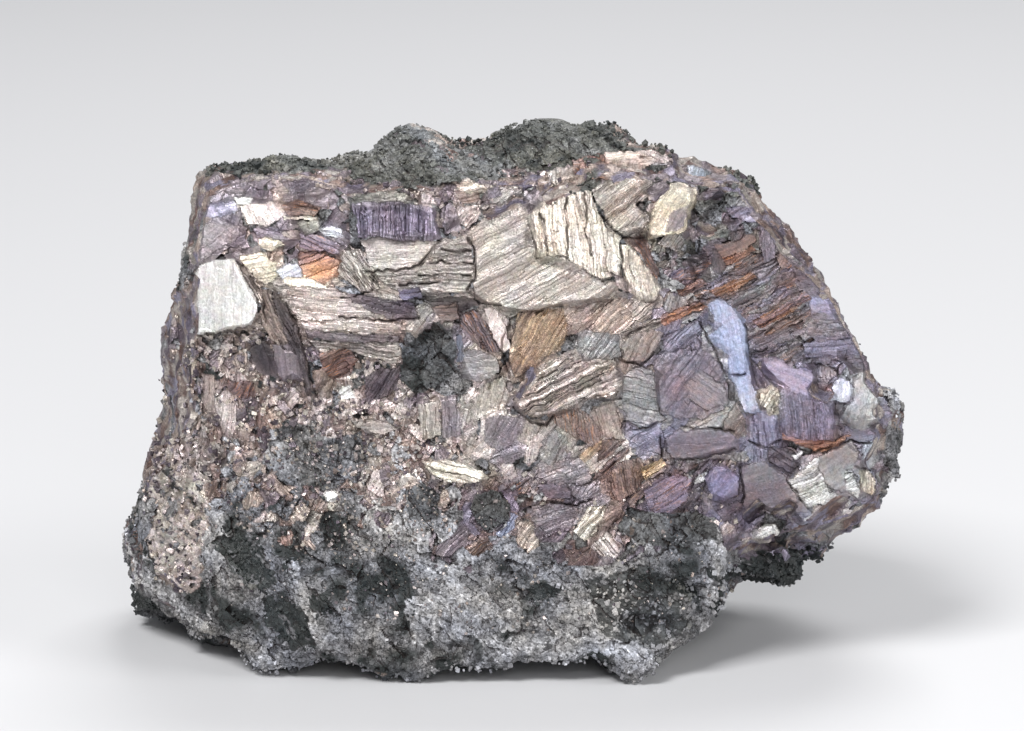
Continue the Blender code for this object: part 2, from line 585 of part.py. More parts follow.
def relief(mesh):
    """Broken faces all round, small flats and the main grains on the front, then the floor."""
    points, normals = mesh_points(mesh)
    share = front_share(normals)
    moved = broken_faces(points, normals, share, BROAD_FACETS, 11)
    moved = broken_faces(moved, normals, share, SMALL_FACETS, 23)
    wave = bumps(points, 9.0, 0.7, (3.0, 1.0, 2.0)) + bumps(points, 3.2, 0.42, (8.0, 5.0, 1.0))
    moved += normals * (wave * (1.0 - 0.5 * share))[:, None]
    change = front_cells(moved, share)
    change = grain_levels(moved, change, share)
    away = np.array((0.0, math.cos(VIEW_TILT), -math.sin(VIEW_TILT)))
    moved += away * (change * share)[:, None]
    moved = fit_outline(moved)
    arch_underside(moved)
    moved[:, 2] = np.maximum(moved[:, 2], 0.0)
    set_points(mesh, moved)


def decimate(work):
    """Keeps the triangles where the form needs them, under the limit, and finer on the front."""
    normals = mesh_points(work.data)[1]
    plain = work.vertex_groups.new(name="plain")
    for index, share in enumerate(front_share(normals)):
        plain.add([index], 1.0 - FRONT_CARE * float(share), "REPLACE")
    triangles = sum(len(face.vertices) - 2 for face in work.data.polygons)
    modifier = work.modifiers.new("Decimate", "DECIMATE")
    modifier.decimate_type = "COLLAPSE"
    modifier.ratio = MAX_TRIANGLES / triangles
    modifier.use_collapse_triangulate = True
    modifier.vertex_group = plain.name
    evaluated(work, "Decimate")


def settle(mesh):
    """Exact flat spots on the floor, clean triangles, and millimetres turned into metres."""
    body = bmesh.new()
    body.from_mesh(mesh)
    for vert in body.verts:
        if vert.co.z < 0.03:
            vert.co.z = 0.0
    bmesh.ops.dissolve_degenerate(body, dist=0.01, edges=body.edges)
    bmesh.ops.triangulate(body, faces=body.faces)
    bmesh.ops.scale(body, vec=(METRE, METRE, METRE), verts=body.verts)
    bmesh.ops.recalc_face_normals(body, faces=body.faces)
    body.to_mesh(mesh)
    body.free()


def bismuth_material():
    """Bismuth metal in grey rock: a pale, pinkish, slightly rough metal."""
    material = bpy.data.materials.new("native_bismuth")
    material.use_nodes = True
    shader = material.node_tree.nodes["Principled BSDF"]
    shader.inputs["Base Color"].default_value = (0.36, 0.31, 0.30, 1.0)
    shader.inputs["Metallic"].default_value = 0.6
    shader.inputs["Roughness"].default_value = 0.45
    return material


def build_specimen():
    body = closed_mesh(*rough_body())
    for number, (x, y, z, radius) in enumerate(LUMPS):
        add_lump(body, (x, y, z), (radius, radius, radius * 0.9), number * 7.3)
    for number, (x, y, radius, sink) in enumerate(FEET):
        add_lump(body, (x, y, radius - sink), (radius, radius, radius), 40.0 + number * 3.1)
    mesh = bpy.data.meshes.new("bismuth_specimen")
    body.to_mesh(mesh)
    body.free()
    work = bpy.data.objects.new("bismuth_specimen", mesh)
    bpy.context.collection.objects.link(work)
    remesh(work, ROUGH_VOXEL)
    relief(work.data)
    remesh(work, FINE_VOXEL)
    decimate(work)
    settle(work.data)
    work.data.name = "bismuth_specimen"
    work.data.shade_flat()
    work.data.materials.clear()
    work.data.materials.append(bismuth_material())


for leftover in list(bpy.data.objects):
    bpy.data.objects.remove(leftover)
build_specimen()
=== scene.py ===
"""The looks of the native bismuth specimen: layered metal grains and granular rock, made as meshes."""
import math

import bmesh
import bpy
import numpy as np
from mathutils import Matrix, Vector
from mathutils.bvhtree import BVHTree


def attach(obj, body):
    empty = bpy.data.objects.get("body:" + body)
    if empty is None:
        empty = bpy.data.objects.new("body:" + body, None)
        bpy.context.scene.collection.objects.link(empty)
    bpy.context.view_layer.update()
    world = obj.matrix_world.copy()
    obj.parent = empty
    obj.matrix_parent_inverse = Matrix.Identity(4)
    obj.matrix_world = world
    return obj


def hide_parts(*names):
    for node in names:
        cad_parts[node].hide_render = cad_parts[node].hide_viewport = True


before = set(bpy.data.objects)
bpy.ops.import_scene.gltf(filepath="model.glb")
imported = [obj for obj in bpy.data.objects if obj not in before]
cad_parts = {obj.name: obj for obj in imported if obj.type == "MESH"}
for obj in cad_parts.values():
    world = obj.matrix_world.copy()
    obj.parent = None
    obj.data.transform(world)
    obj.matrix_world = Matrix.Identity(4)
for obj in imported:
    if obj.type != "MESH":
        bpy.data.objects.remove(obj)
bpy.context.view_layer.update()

# Lengths are in millimetres until a mesh is made
METRE = 0.001
NODE = "bismuth_specimen"

# The view that the front is drawn in, 1024 x 731 pixels, as in the part's source
VIEW_DISTANCE = 450.0
VIEW_TILT = math.radians(12.0)
VIEW_CENTRE = (512.0, 365.5)
VIEW_WIDTH = 1024
VIEW_ORIGIN = np.array((0.42, -14.7, 27.95))
MM_PER_PIXEL = 0.08833
RIGHT = np.array((1.0, 0.0, 0.0))
UP = np.array((0.0, math.sin(VIEW_TILT), math.cos(VIEW_TILT)))
TOWARDS = np.array((0.0, -math.cos(VIEW_TILT), math.sin(VIEW_TILT)))
CAMERA_PLACE = VIEW_ORIGIN + TOWARDS * VIEW_DISTANCE

# How near the solid's box its own relief is drawn in
BOX_MARGIN = 0.25

# Edge of the cells that the skin is meshed with
SKIN_VOXEL = 0.4

# Colours read off, in hexadecimal sRGB. Each palette has its layer colours and its streak colours.
PALETTES = {
    "cream": ("e2d7ca d4cabe c8beb2 e8dfd4", "968a82"),
    "cream_warm": ("ded3c2 d2c6b4 e6ddce", "a59480"),
    "cream_grey": ("bab1aa a8a19c c8bfb8", "746b68"),
    "cream_dim": ("aaa19a 9c948e b8aea6", "706764"),
    "cream_mid": ("d2c5be c0b3ae ded3cc", "7a6d6b"),
    "ember": ("b48060 987066 866e74 ca9668", "de9a60"),
    "white": ("f0edea e6e4e4 ece8e4", "cdcfd4"),
    "pale_blue": ("d0d0d8 c0c2ce", "a2a6b8"),
    "pink_white": ("ded0cc cec0be e6dad6", "a69292"),
    "violet": ("706777 7c7384 625a6a", "a299aa"),
    "mauve": ("8c8288 80767c 9a9094", "685e64"),
    "mauve_blue": ("868092 928ea0 787080", "a8a4b8"),
    "dark_mauve": ("665c66 5b525b 726871", "8a7c84"),
    "blue": ("929ab2 868faa 9ea2b8", "b0b0c4"),
    "lilac": ("948fae 9e99b7 8a84a4 a094a6", "b8a8ac"),
    "orange": ("86797c 7a6e75 94827a", "e29658"),
    "rust": ("745f5e 80675e 6a585c", "d68c56"),
    "gold": ("988272 b8a086 ceb492", "d8b07e"),
    "tan": ("a89890 9a8c86 b6a69c", "78645c"),
    "grey": ("9a9696 8a8688 aaa7a6", "686264"),
    "olive": ("7c7c74 6c6c66 8e8c84", "50504c"),
    "dark": ("403a3e 322e32 50484c", "6e6468"),
    "brown": ("76625e 685654 88746e", "b08e76"),
    "purple_orange": ("807384 8e8192 736675", "cc9068"),
}

# Grains of the front, small ones first, as the first that holds a place keeps it. Each row has its
# name and palette, the angle, width and height of its layers, how far it stands out, and its outline in
# the view. Angles are degrees up from the right, lengths millimetres. Rows go on where they are indented.
# Some rows stand for light, not colour. The dark grain under the overhang at 420 to 480 across and 297 to
# 313 down, and the dark notch at 712 to 729 across and 249 to 276 down, are painted shade. The pale grain
# at 276 to 302 across and 262 to 282 down is a painted glare.
GRAINS = """
wedge dark_mauve 80 0.36 0.1 0.1 440,208 452,203 462,230 445,235
jagged_white pink_white 50 0.29 0.3 0.2 453,208 478,204 481,214 466,229 457,222
strip_cream cream 10 0.29 0.3 0.2 450,181 484,178 494,187 480,193 460,190
strip_brown brown 10 0.36 0.2 0 455,190 477,189 481,201 462,203
strip_blue violet 60 0.36 0.2 0.1 486,188 499,185 503,196 489,198
strip_facet mauve 60 0.5 0.1 0.2 524,190 540,185 546,195 538,206 525,203
strip_shards cream_grey 35 0.29 0.3 0.1 503,184 520,180 524,198 508,206 490,204
rim_slab tan 5 0.86 0.2 0.1 604,152 640,150 662,160 640,168 610,170
rim_rust rust 20 0.58 0.2 0 570,160 604,154 614,170 606,180 575,178
rim_white pink_white -25 0.43 0.3 0.3 636,141 664,145 688,158 660,162 640,152
rim_blue pale_blue 60 0.58 0.2 0.2 688,165 705,168 712,181 700,184 690,178
stain mauve 55 0.43 0.1 0.3 670,212 692,205 680,230 664,233
small_cream pink_white 100 0.43 0.2 0.3 611,274 624,277 632,292 620,291
rust_wedge rust 120 0.43 0.2 -0.1 620,238 640,234 648,241 651,256 660,272 656,280 646,266 640,252 627,244
ledge_a cream_grey 22 0.25 0.3 0.25 620,332 660,316 662,325 622,340
ledge_b ember 23 0.22 0.3 0.25 658,318 699,300 706,307 690,313 664,325
ledge_c ember 25 0.22 0.3 0.2 676,291 702,278 706,284 680,297
ledge_d ember 25 0.22 0.3 0.3 709,292 750,271 757,277 716,299
ledge_e ember 24 0.22 0.3 0.3 722,258 752,247 756,252 726,266
ledge_f ember 27 0.22 0.3 0.3 752,322 806,292 812,299 760,330
brown_plane brown 20 0.65 0.1 0.1 714,246 736,240 752,234 757,241 744,250 722,259
dark_slab dark 60 0.65 0.2 0.2 727,232 744,231 752,246 736,250
dark_notch dark 100 0.43 0.2 -0.2 713,252 719,249 729,263 722,276 712,270
dark_upright dark_mauve 92 0.43 0.2 0.1 760,222 774,221 775,258 764,262 758,240
blue_facet mauve_blue 30 0.5 0.2 0.2 727,206 754,205 763,222 746,223 730,216
brown_facet brown 60 0.5 0.2 0.1 775,255 786,250 792,259 781,268
flank_lilac lilac 3 0.65 0.1 0.1 808,298 838,296 843,312 812,314
flank_brown mauve 2 0.36 0.2 0.1 806,324 840,321 846,334 808,335
flank_purple mauve_blue 2 0.43 0.2 0.1 804,342 852,338 862,354 806,358
flank_dark dark_mauve 5 0.43 0.2 0 846,358 866,356 876,368 850,376
white_line cream 195 0.36 0.1 0 283,217 318,216 317,220 284,221
rust_plate rust -5 0.25 0.2 0.1 282,203 300,200 323,208 315,216 288,216
white_spot white 10 0.36 0.1 0.2 235,198 252,198 250,205 237,206
grey_facet_b mauve_blue 20 0.58 0.1 0.2 201,206 233,200 240,211 215,219 203,216
pink_facet pink_white 115 0.43 0.1 0.1 241,206 275,200 286,215 270,227 246,223
violet_arc violet -10 0.36 0.2 0.1 251,228 275,229 289,241 270,239 255,238
cream_arc cream_warm -10 0.36 0.2 0.1 257,238 274,236 286,246 268,250 258,246
brown_pit brown 70 0.43 0.3 -0.3 263,243 281,241 287,255 269,259
pale_green olive 30 0.65 0.1 0.2 298,222 318,219 320,229 305,236
blue_white pale_blue -10 0.43 0.2 0.2 315,225 340,227 346,236 325,236
purple_plate purple_orange -20 0.43 0.2 0.1 298,232 322,235 342,244 340,256 318,251 299,247
orange_grain ember 20 0.5 0.2 0.1 298,250 320,251 341,262 337,276 324,283 304,276 297,264
orange_lip cream_warm 8 0.29 0.1 0.3 283,280 300,276 324,281 334,277 325,288 290,287
white_core pale_blue 20 0.5 0.1 0.2 276,272 297,262 302,277 285,282
cream_bud cream_warm 15 0.5 0.2 0.2 240,256 262,252 277,262 276,276 263,285 249,271
brown_sliver tan 118 0.22 0.3 0.1 239,263 246,268 262,290 261,306 253,296 243,279
mauve_slope mauve 35 0.86 0.1 0.1 184,236 215,220 240,226 236,240 216,250 196,263 182,264
hatched cream_grey 128 0.2 0.3 0.2 344,250 360,248 373,270 381,290 362,293 345,281 337,268
brown_shadow dark_mauve -3 0.29 0.2 -0.3 304,331 350,333 399,336 398,342 346,342 308,338
brown_lens dark_mauve -15 0.36 0.3 -0.2 345,293 366,296 398,300 414,303 420,320 398,322 374,313 352,302
lavender_lens lilac 0 0.36 0.2 0 398,289 420,288 424,298 400,300
lath_grey tan 115 0.25 0.25 0.2 262,289 270,289 281,322 288,340 278,345 262,322
lath_dark dark 117 0.25 0.35 0.4 271,288 279,292 293,318 302,342 307,366 313,396 306,397 299,368 288,338
  278,318
grey_facet mauve 95 1.01 0.08 0.2 272,345 298,342 303,362 298,378 282,380 274,365
black_facet dark 110 0.86 0.1 0 251,346 264,340 270,346 276,366 279,379 262,373 252,364
black_pocket dark 88 0.72 0.1 -0.4 172,388 181,384 190,390 192,400 180,403 172,398
stripes_a lilac 80 0.22 0.2 0.2 172,362 181,358 185,381 175,385
stripes_b cream_warm 80 0.22 0.2 0.2 182,358 195,361 193,379 185,384
left_white white 85 0.43 0.1 0.2 180,330 186,332 188,351 178,349
left_pink pink_white 80 0.5 0.2 0.1 168,300 180,296 181,330 168,323
rust_pit rust 60 0.43 0.3 -0.3 225,379 254,382 258,396 240,400 228,391
tan_upright tan 85 0.43 0.2 0.1 202,374 214,377 216,411 203,415
pink_upright pink_white 78 0.29 0.2 0.3 214,398 235,404 236,430 229,441 221,425
brown_arch rust 20 0.43 0.3 -0.3 319,352 346,348 359,361 350,376 335,381 321,369
tan_arch tan 70 0.36 0.2 0 322,369 335,381 332,400 318,396 313,372
mauve_fan dark_mauve 58 0.25 0.25 0.1 364,379 380,368 401,367 397,386 381,401 365,402
white_bit_a white 30 0.5 0.2 0.2 338,386 352,386 356,399 341,401
white_bit_b white 30 0.5 0.2 0.2 325,490 335,488 338,500 326,503
cream_low cream_grey 5 0.29 0.2 0.2 350,419 380,420 401,429 381,435 356,429
pink_bit pink_white 30 0.43 0.2 0.2 500,465 513,465 517,476 503,479
gold_bit orange 35 0.22 0.3 0.2 514,482 530,478 533,490 520,497
blue_rim blue 88 0.22 0.1 0 457,335 462,335 464,362 458,362
ring_a violet 60 0.29 0.1 0 500,487 515,498 518,512 512,512 507,500 497,492
ring_b mauve_blue 60 0.29 0.1 0 466,500 474,505 470,520 482,534 474,536 464,524 462,508
ring_c blue 60 0.29 0.1 0 512,514 519,514 515,528 500,538 496,534 508,526
chestnut brown 10 0.36 0.2 0 431,308 457,303 461,318 441,323
dark_roof dark 5 0.36 0.2 -0.2 420,300 446,297 474,298 480,304 460,313 440,308
rust_fibres orange 118 0.22 0.25 0 458,313 478,309 494,335 500,352 490,353 470,340 460,326
grey_wedge mauve 50 0.29 0.2 0.2 568,484 598,478 596,492 576,500
gold_band_a gold 45 0.2 0.2 0.3 579,456 600,439 601,448 584,463
gold_band_b rust 40 0.2 0.2 0.3 598,478 606,461 628,446 631,453 612,468 603,481
gold_bar_a gold 35 0.22 0.3 0.3 640,468 662,458 667,465 645,479
gold_bar_b orange 45 0.22 0.3 0.3 462,548 484,537 493,546 478,557
white_sliver white 35 0.43 0.1 0.3 790,458 800,450 806,452 795,461
dark_corner violet 120 0.43 0.1 0.1 750,365 758,367 772,386 762,389 755,393 751,380
sparkle_patch cream 60 0.36 0.4 0.2 755,391 769,382 779,392 780,413 768,416 760,402
mauve_stub mauve 92 0.25 0.2 0.3 811,372 820,365 833,366 839,375 829,381 817,381
gold_stub ember 50 0.22 0.2 0.2 816,398 824,385 833,382 831,393 822,400
blue_hexagon pale_blue 80 0.86 0.08 0.5 830,396 833,382 839,377 848,380 852,390 850,399 842,402 832,400
notch_shade dark 90 0.58 0.1 -0.4 834,403 846,403 842,419 834,418
blue_speck pale_blue 60 0.29 0.3 0.2 862,445 872,442 877,451 874,461 864,459
cream_stub cream_warm 80 0.43 0.2 0.3 860,470 868,469 877,482 873,495 862,490
white_ribs white 20 0.22 0.3 0.3 845,470 852,471 860,490 858,498 845,489
white_lump white 25 0.5 0.2 0.5 754,532 765,525 775,524 783,532 775,542 762,545 752,541
white_tail pink_white 30 0.36 0.2 0.3 741,541 755,535 755,545 745,549
white_chip_a pink_white 50 0.36 0.2 0.4 720,525 729,522 735,527 731,535 722,534
white_chip_b white 15 0.36 0.2 0.4 803,518 815,513 823,521 817,529 805,526
white_chip_c white 5 0.36 0.2 0.4 825,500 840,497 851,501 846,508 830,507
white_chip_d white 5 0.36 0.2 0.4 840,509 852,508 851,515 841,516
pink_chip pink_white 35 0.36 0.2 0.2 812,505 828,508 824,518 811,515
tan_chip tan 35 0.36 0.2 0.2 825,518 840,520 838,532 827,530
violet_comb violet 90 0.22 0.2 0.25 352,203 400,203 435,207 440,240 420,242 372,237 358,238
comb_top olive 5 0.43 0.2 0.3 352,192 395,190 412,197 412,203 352,203
white_cleavage white 86 1.3 0.08 0.3 200,264 213,258 232,258 238,265 245,280 255,300 260,312 250,325 230,330
  210,335 192,333 186,320 183,300 190,285
cream_upper cream_grey 6 0.36 0.12 0.2 360,240 378,238 438,241 430,254 420,266 400,270 372,271
cream_laminated cream_grey 4 0.23 0.26 0.25 440,238 470,236 474,280 470,293 420,296 390,288 372,275 400,271
  421,266
grey_lamellar cream_grey 40 0.2 0.28 0.3 590,190 605,182 612,180 622,168 635,165 646,168 652,180 650,196
  636,205 646,211 650,218 645,231 635,237 620,236 608,228 605,212 595,200
cream_yellow cream_warm 58 0.5 0.15 0.35 653,214 655,196 663,184 680,182 697,188 697,202 684,232 665,236
  646,239
vertical_plates cream 98 0.32 0.22 0.4 530,215 545,198 560,190 582,186 590,190 594,202 608,228 620,237
  622,278 602,280 580,268 562,256 535,257
right_cream cream 100 0.29 0.2 0.35 621,243 635,245 642,262 655,273 660,290 655,300 640,300 628,290 624,275
central_diagonal cream_dim 28 0.32 0.12 0.3 465,232 490,212 520,196 530,215 535,257 562,256 580,268 602,280
  625,284 612,298 575,306 520,311 510,318 490,306 475,299 472,250
driftwood cream_mid 27 0.22 0.45 0.7 513,400 520,390 531,380 533,369 548,358 575,352 583,360 612,360 619,372
  621,386 618,397 600,398 585,402 560,412 540,418 524,415
golden_striated gold 58 0.2 0.15 0.1 518,310 545,309 562,306 566,320 568,335 560,350 545,358 530,370 515,378
  508,355 515,330
pink_sliver pink_white 65 0.65 0.1 0.3 484,308 495,306 508,335 511,350 503,353 492,340 487,325
tan_upper tan 42 0.29 0.2 0.1 562,306 610,298 655,302 650,318 620,334 590,330 568,336
grey_plate grey 55 0.29 0.2 0.1 578,331 600,328 619,335 620,356 606,362 582,359 574,345
cream_plate tan 62 0.43 0.15 0.2 622,336 650,327 663,334 656,352 640,363 622,359
grey_blue_plate mauve_blue 42 0.29 0.2 0.2 662,337 700,318 703,331 690,345 665,353
blue_crack violet 100 0.29 0.2 -0.3 690,321 700,325 702,346 690,350
inner_facet mauve 145 0.36 0.1 0.35 684,385 700,371 724,384 727,404 706,411 690,401
mauve_rings dark_mauve 55 0.36 0.08 0.25 652,362 672,349 700,345 720,362 728,385 725,410 705,418 680,420
  660,412 655,390
white_streak cream_grey 25 0.22 0.15 0.35 680,430 700,415 730,406 728,413 702,424 686,432
mauve_oval dark_mauve 8 0.86 0.06 0.25 664,440 680,430 700,428 730,432 741,440 738,450 720,455 690,459
  670,458
blue_sheet blue 100 0.86 0.08 0.35 706,306 718,299 735,309 745,321 749,345 751,366 755,390 761,412 745,413
  738,396 730,376 728,355 714,345 709,335 722,325
lilac_plate lilac 160 0.72 0.08 0.5 760,358 778,356 790,366 815,371 812,381 815,396 804,396 790,391 780,388
  770,378 762,370
violet_block violet 92 0.23 0.15 0.4 780,390 800,388 808,397 833,398 835,420 833,441 800,441 782,433
orange_band ember 6 0.22 0.15 0.35 782,433 800,441 833,441 852,433 838,446 822,453 800,446 784,441
violet_neighbour mauve_blue 93 0.23 0.15 0.25 747,416 760,410 778,415 781,439 770,447 766,460 755,463
  746,455
purple_under dark_mauve 150 0.43 0.2 0.1 768,448 790,447 802,455 790,476 776,470 768,461
pale_corner grey 80 1.44 0.06 0.4 852,378 865,368 881,370 882,395 880,420 866,430 850,428 840,420 845,405
  853,400
lilac_corner mauve_blue 20 0.72 0.12 0.2 845,426 868,430 882,430 878,440 861,444 845,437
white_striated white 22 0.24 0.3 0.45 788,480 817,457 821,470 826,485 843,498 835,504 806,506 795,495
grey_corner grey 35 1.15 0.08 0.4 817,457 835,449 850,440 860,452 853,466 845,470 844,481 851,491 838,491
  826,484 820,470
grey_mauve mauve 15 1.01 0.08 0.3 741,466 765,461 780,474 790,480 796,500 806,502 807,510 790,516 765,512
  745,505
purple_low violet 40 0.43 0.2 0.1 744,508 765,513 762,524 752,532 737,535 736,516
blue_lump lilac 50 0.72 0.1 0.4 704,478 712,467 728,465 739,478 738,492 725,500 712,498
lens grey 8 0.5 0.1 0.2 462,354 478,348 498,358 501,372 482,381 462,377
barrel mauve 91 0.22 0.2 0.2 440,396 458,395 461,436 442,439
barrel_left cream_grey 95 0.25 0.2 0.1 417,406 439,400 441,436 423,440
mauve_block mauve 62 0.29 0.15 0.15 485,420 506,414 527,420 516,442 498,452 485,441
orange_fibres orange 102 0.22 0.15 0.1 545,413 576,408 590,416 600,428 598,446 578,440 558,426
tan_fibres tan 105 0.25 0.15 0.1 590,412 614,400 623,420 622,440 602,437
pale_round grey 60 0.36 0.15 0.2 541,441 556,430 567,437 566,455 550,467 540,458
grey_fan mauve 20 0.25 0.15 0.2 535,463 560,458 580,456 590,468 591,480 560,485 538,477
brown_plate brown 38 0.25 0.2 0.1 600,441 627,437 612,453 597,463
brown_leaves brown 105 0.22 0.2 0.1 600,481 620,463 640,458 646,475 636,491 620,501 601,493
right_fan grey 168 0.29 0.15 0.1 622,373 640,366 655,373 660,400 664,419 640,429 625,421 620,398
right_low mauve_blue 30 0.43 0.15 0.15 625,430 640,431 662,421 664,440 660,453 640,449 628,441
cream_blade cream 162 0.36 0.2 0.35 420,462 445,458 465,465 480,470 488,478 475,484 450,482 432,475
low_dark dark_mauve 8 0.65 0.1 0.2 536,484 566,483 580,491 570,499 546,498
low_plates cream 50 0.22 0.3 0.4 573,531 588,508 606,504 602,524 586,543
low_cream pink_white 130 0.29 0.3 0.2 590,546 606,532 622,544 616,556 600,556
low_leaf mauve 20 0.25 0.2 0.1 530,505 560,502 580,510 572,528 548,532 530,520
low_gold tan 50 0.22 0.2 0.2 518,520 532,522 540,545 528,552 516,540
purple_grain purple_orange 28 0.43 0.2 0.2 642,492 656,480 680,474 692,480 688,498 672,512 650,512
blue_under mauve_blue 15 0.36 0.2 0.2 646,505 672,498 678,508 664,516 648,514
cream_left_a cream_mid -6 0.32 0.2 0.25 288,292 330,286 346,295 366,300 371,313 345,319 300,321 288,306
cream_left_b cream_mid -3 0.25 0.25 0.25 300,322 345,320 372,317 402,324 398,335 350,332 305,330
cream_left_c cream_grey -8 0.25 0.3 0.15 308,340 346,343 398,342 404,352 396,363 370,359 345,350 320,352
"""

# Open cracks of the front, as lines in the view; each is grooved into the relief and painted with shade
CRACKS = [
    "360,271 395,271 418,266 428,252 440,239", "466,238 474,250 475,280 468,292 478,302 500,306",
    "602,280 612,279 611,273", "652,168 655,185 650,200 637,204 651,215 646,238", "621,238 623,275",
    "340,318 380,320 420,319", "182,300 184,320 190,340", "536,312 547,307 562,305",
    "513,408 530,420 545,426 556,416", "600,402 620,398", "536,258 530,225", "548,256 541,214",
    "568,262 566,190", "590,256 583,190", "626,337 660,321 702,305", "700,322 712,346 728,377 745,372",
    "748,440 766,448 782,440", "785,442 810,453 835,446 850,440 870,445 882,438", "660,438 662,456",
    "682,427 735,431", "665,460 700,459 735,449", "740,455 744,500", "855,466 870,470",
    "520,498 545,501 576,506 592,500", "577,486 600,477 615,462", "261,290 268,322 286,350",
    "281,292 301,336 308,366 316,396", "600,212 622,238 646,238", "372,275 372,290 340,300",
    "440,250 470,252", "430,262 472,264", "420,274 470,276", "400,285 440,282",
    "190,335 215,335 250,326", "510,318 500,350 512,378", "620,360 640,366 655,352",
    "788,480 800,500 812,512", "700,298 722,300", "745,325 752,365", "640,430 665,420",
]

# Areas of small grains between the main ones. Each has its palettes, the size of its cells and how
# much longer they are along the layers, the angle of the layers and its spread, the width and height
# of the layers, the tilt and level of the cells, and its outline. The first that holds a place counts.
ZONES = {
    "left_band": (
        "pink_white cream_grey pink_white tan cream", 0.5, 1.0, 60, 90, 0.3, 0.1, 0.5, 0.34,
        "140,436 198,430 208,500 202,560 186,592 158,584 152,545 154,500 134,474"),
    "left_side": (
        "dark_mauve violet brown tan grey", 1.1, 1.5, 80, 40, 0.3, 0.2, 0.4, 0.4,
        "150,290 187,290 197,430 150,438"),
    "granular": (
        "brown pink_white tan dark_mauve brown cream_grey dark", 0.85, 1.2, 75, 60, 0.3, 0.16, 0.5, 0.5,
        "186,340 250,330 330,345 402,340 405,392 460,402 458,500 430,540 340,560 270,540 222,515 197,480"),
    "upper_left": (
        "mauve_blue dark_mauve tan mauve mauve dark_mauve mauve", 1.1, 1.2, 20, 60, 0.5, 0.1, 0.4, 0.3,
        "183,176 345,166 352,242 290,262 188,270"),
    "upper_strip": (
        "cream_grey pink_white dark_mauve tan mauve", 0.8, 1.4, 60, 60, 0.3, 0.2, 0.4, 0.4,
        "345,182 450,184 600,160 565,205 462,238 350,206"),
    "upper_right": (
        "olive grey dark_mauve olive mauve", 1.0, 1.4, 35, 50, 0.3, 0.25, 0.4, 0.5,
        "596,158 705,156 775,205 762,250 660,264 600,232"),
    "right_flank": (
        "mauve_blue dark_mauve mauve dark_mauve", 1.2, 3.0, 3, 6, 0.4, 0.12, 0.15, 0.25,
        "775,212 800,222 850,300 884,366 812,366 804,300 786,256"),
    "right_slope": (
        "orange mauve grey orange mauve mauve_blue orange", 0.62, 6.0, 26, 3, 0.3, 0.3, 0.2, 0.7,
        "655,250 770,203 830,280 880,366 760,366 700,300"),
    "right_middle": (
        "mauve mauve_blue grey tan", 1.6, 1.5, 50, 30, 0.4, 0.14, 0.2, 0.3,
        "620,290 700,290 762,366 762,462 640,462 620,380"),
    "right_lower": (
        "grey dark_mauve mauve_blue mauve dark_mauve", 1.2, 1.2, 40, 60, 0.4, 0.14, 0.3, 0.4,
        "740,362 884,366 890,420 880,505 842,540 735,556 700,505 740,460"),
    "middle": (
        "tan mauve cream_grey cream_grey pink_white tan", 1.3, 1.6, 50, 30, 0.35, 0.16, 0.3, 0.35,
        "400,290 662,290 642,466 455,472 405,392"),
    "low_middle": (
        "tan mauve brown dark_mauve brown mauve", 1.0, 2.0, 50, 25, 0.3, 0.2, 0.35, 0.4,
        "455,462 742,452 742,522 640,560 520,585 430,560"),
    "mid_left": (
        "cream_grey tan cream_grey brown", 1.2, 2.2, -8, 18, 0.26, 0.22, 0.3, 0.45,
        "186,258 425,236 425,346 186,346"),
}

# How much of an area's small cells are rock instead of metal
ROCK_SHARE = {"left_band": 0.15, "left_side": 0.2, "granular": 0.2, "upper_left": 0.1, "upper_strip": 0.25,
              "upper_right": 0.4, "right_lower": 0.15, "middle": 0.12, "low_middle": 0.2, "mid_left": 0.1}

# Areas whose small cells give way to rock downwards: from where in the view, and over what length
FADES = {"granular": (476.0, 60.0), "low_middle": (528.0, 48.0)}

# Dark green cleavage faces of the rock, in the view
DARK_FACES = [
    "215,532 240,526 265,545 278,588 250,584 222,560",
    "262,592 295,602 318,648 292,652 268,622",
    "308,596 330,590 334,612 312,616",
    "742,546 790,544 826,552 812,572 800,594 762,596 742,580",
    "523,590 545,582 564,592 548,602 524,600",
    "776,585 800,558 890,545 890,600 800,616",
]

# Rock that shows between the grains: how dark it is, from 0 to 1, and its outline in the view
BARE_ROCK = [
    (0.7, "474,498 488,489 502,492 510,504 509,518 500,528 486,531 474,522 470,510"),
    (0.7, "400,492 420,484 438,494 440,510 426,522 406,518"),
    (0.7, "402,350 424,328 446,332 456,350 456,372 440,390 418,396 402,384"),
    (0.7, "628,508 660,514 700,512 716,518 714,538 690,548 640,546 616,530"),
    (0.85, "586,584 640,566 700,584 692,630 654,646 604,634"),
    (0.2, "266,430 296,420 330,438 362,430 370,462 334,490 284,486 264,462"),
]

# Where small crumbs of metal are sprinkled over the rock
SPRINKLED = "200,470 460,480 560,560 740,520 740,600 560,640 300,600 200,600"

# Pale veins and patches of the rock
PALE_PATCHES = [
    "282,560 294,560 334,640 322,654 298,614",
    "500,604 522,596 524,632 500,636",
    "128,480 150,490 150,560 128,560",
    "200,480 222,476 226,556 204,560",
    "400,600 470,590 480,640 410,650",
    "480,642 600,634 606,670 486,668",
]

# The palettes in order, those of the crumbs, and those of the metal away from the front
PALETTE_NAMES = list(PALETTES)
CRUMB_PALETTES = ["cream", "pink_white", "pink_white", "mauve", "cream_grey", "dark_mauve", "tan"]
SIDE_PALETTES = ["cream_grey", "mauve", "tan", "brown", "dark_mauve", "mauve_blue"]

# How the front is sampled: step in pixels, and the part of the view that holds the specimen
FRONT_STEP = 1.1
FRONT_COLUMNS = (116, 912)
FRONT_ROWS = (114, 690)

# Odd numbers and shifts that scramble whole numbers of 32 bits into random ones
SCRAMBLE = (374761393, 668265263, 1442695041)
SCRAMBLE_AGAIN = ((13, 1274126177), (16, 1103515245))
LAST_SHIFT = 15
ALL_BITS = 0xFFFFFFFF

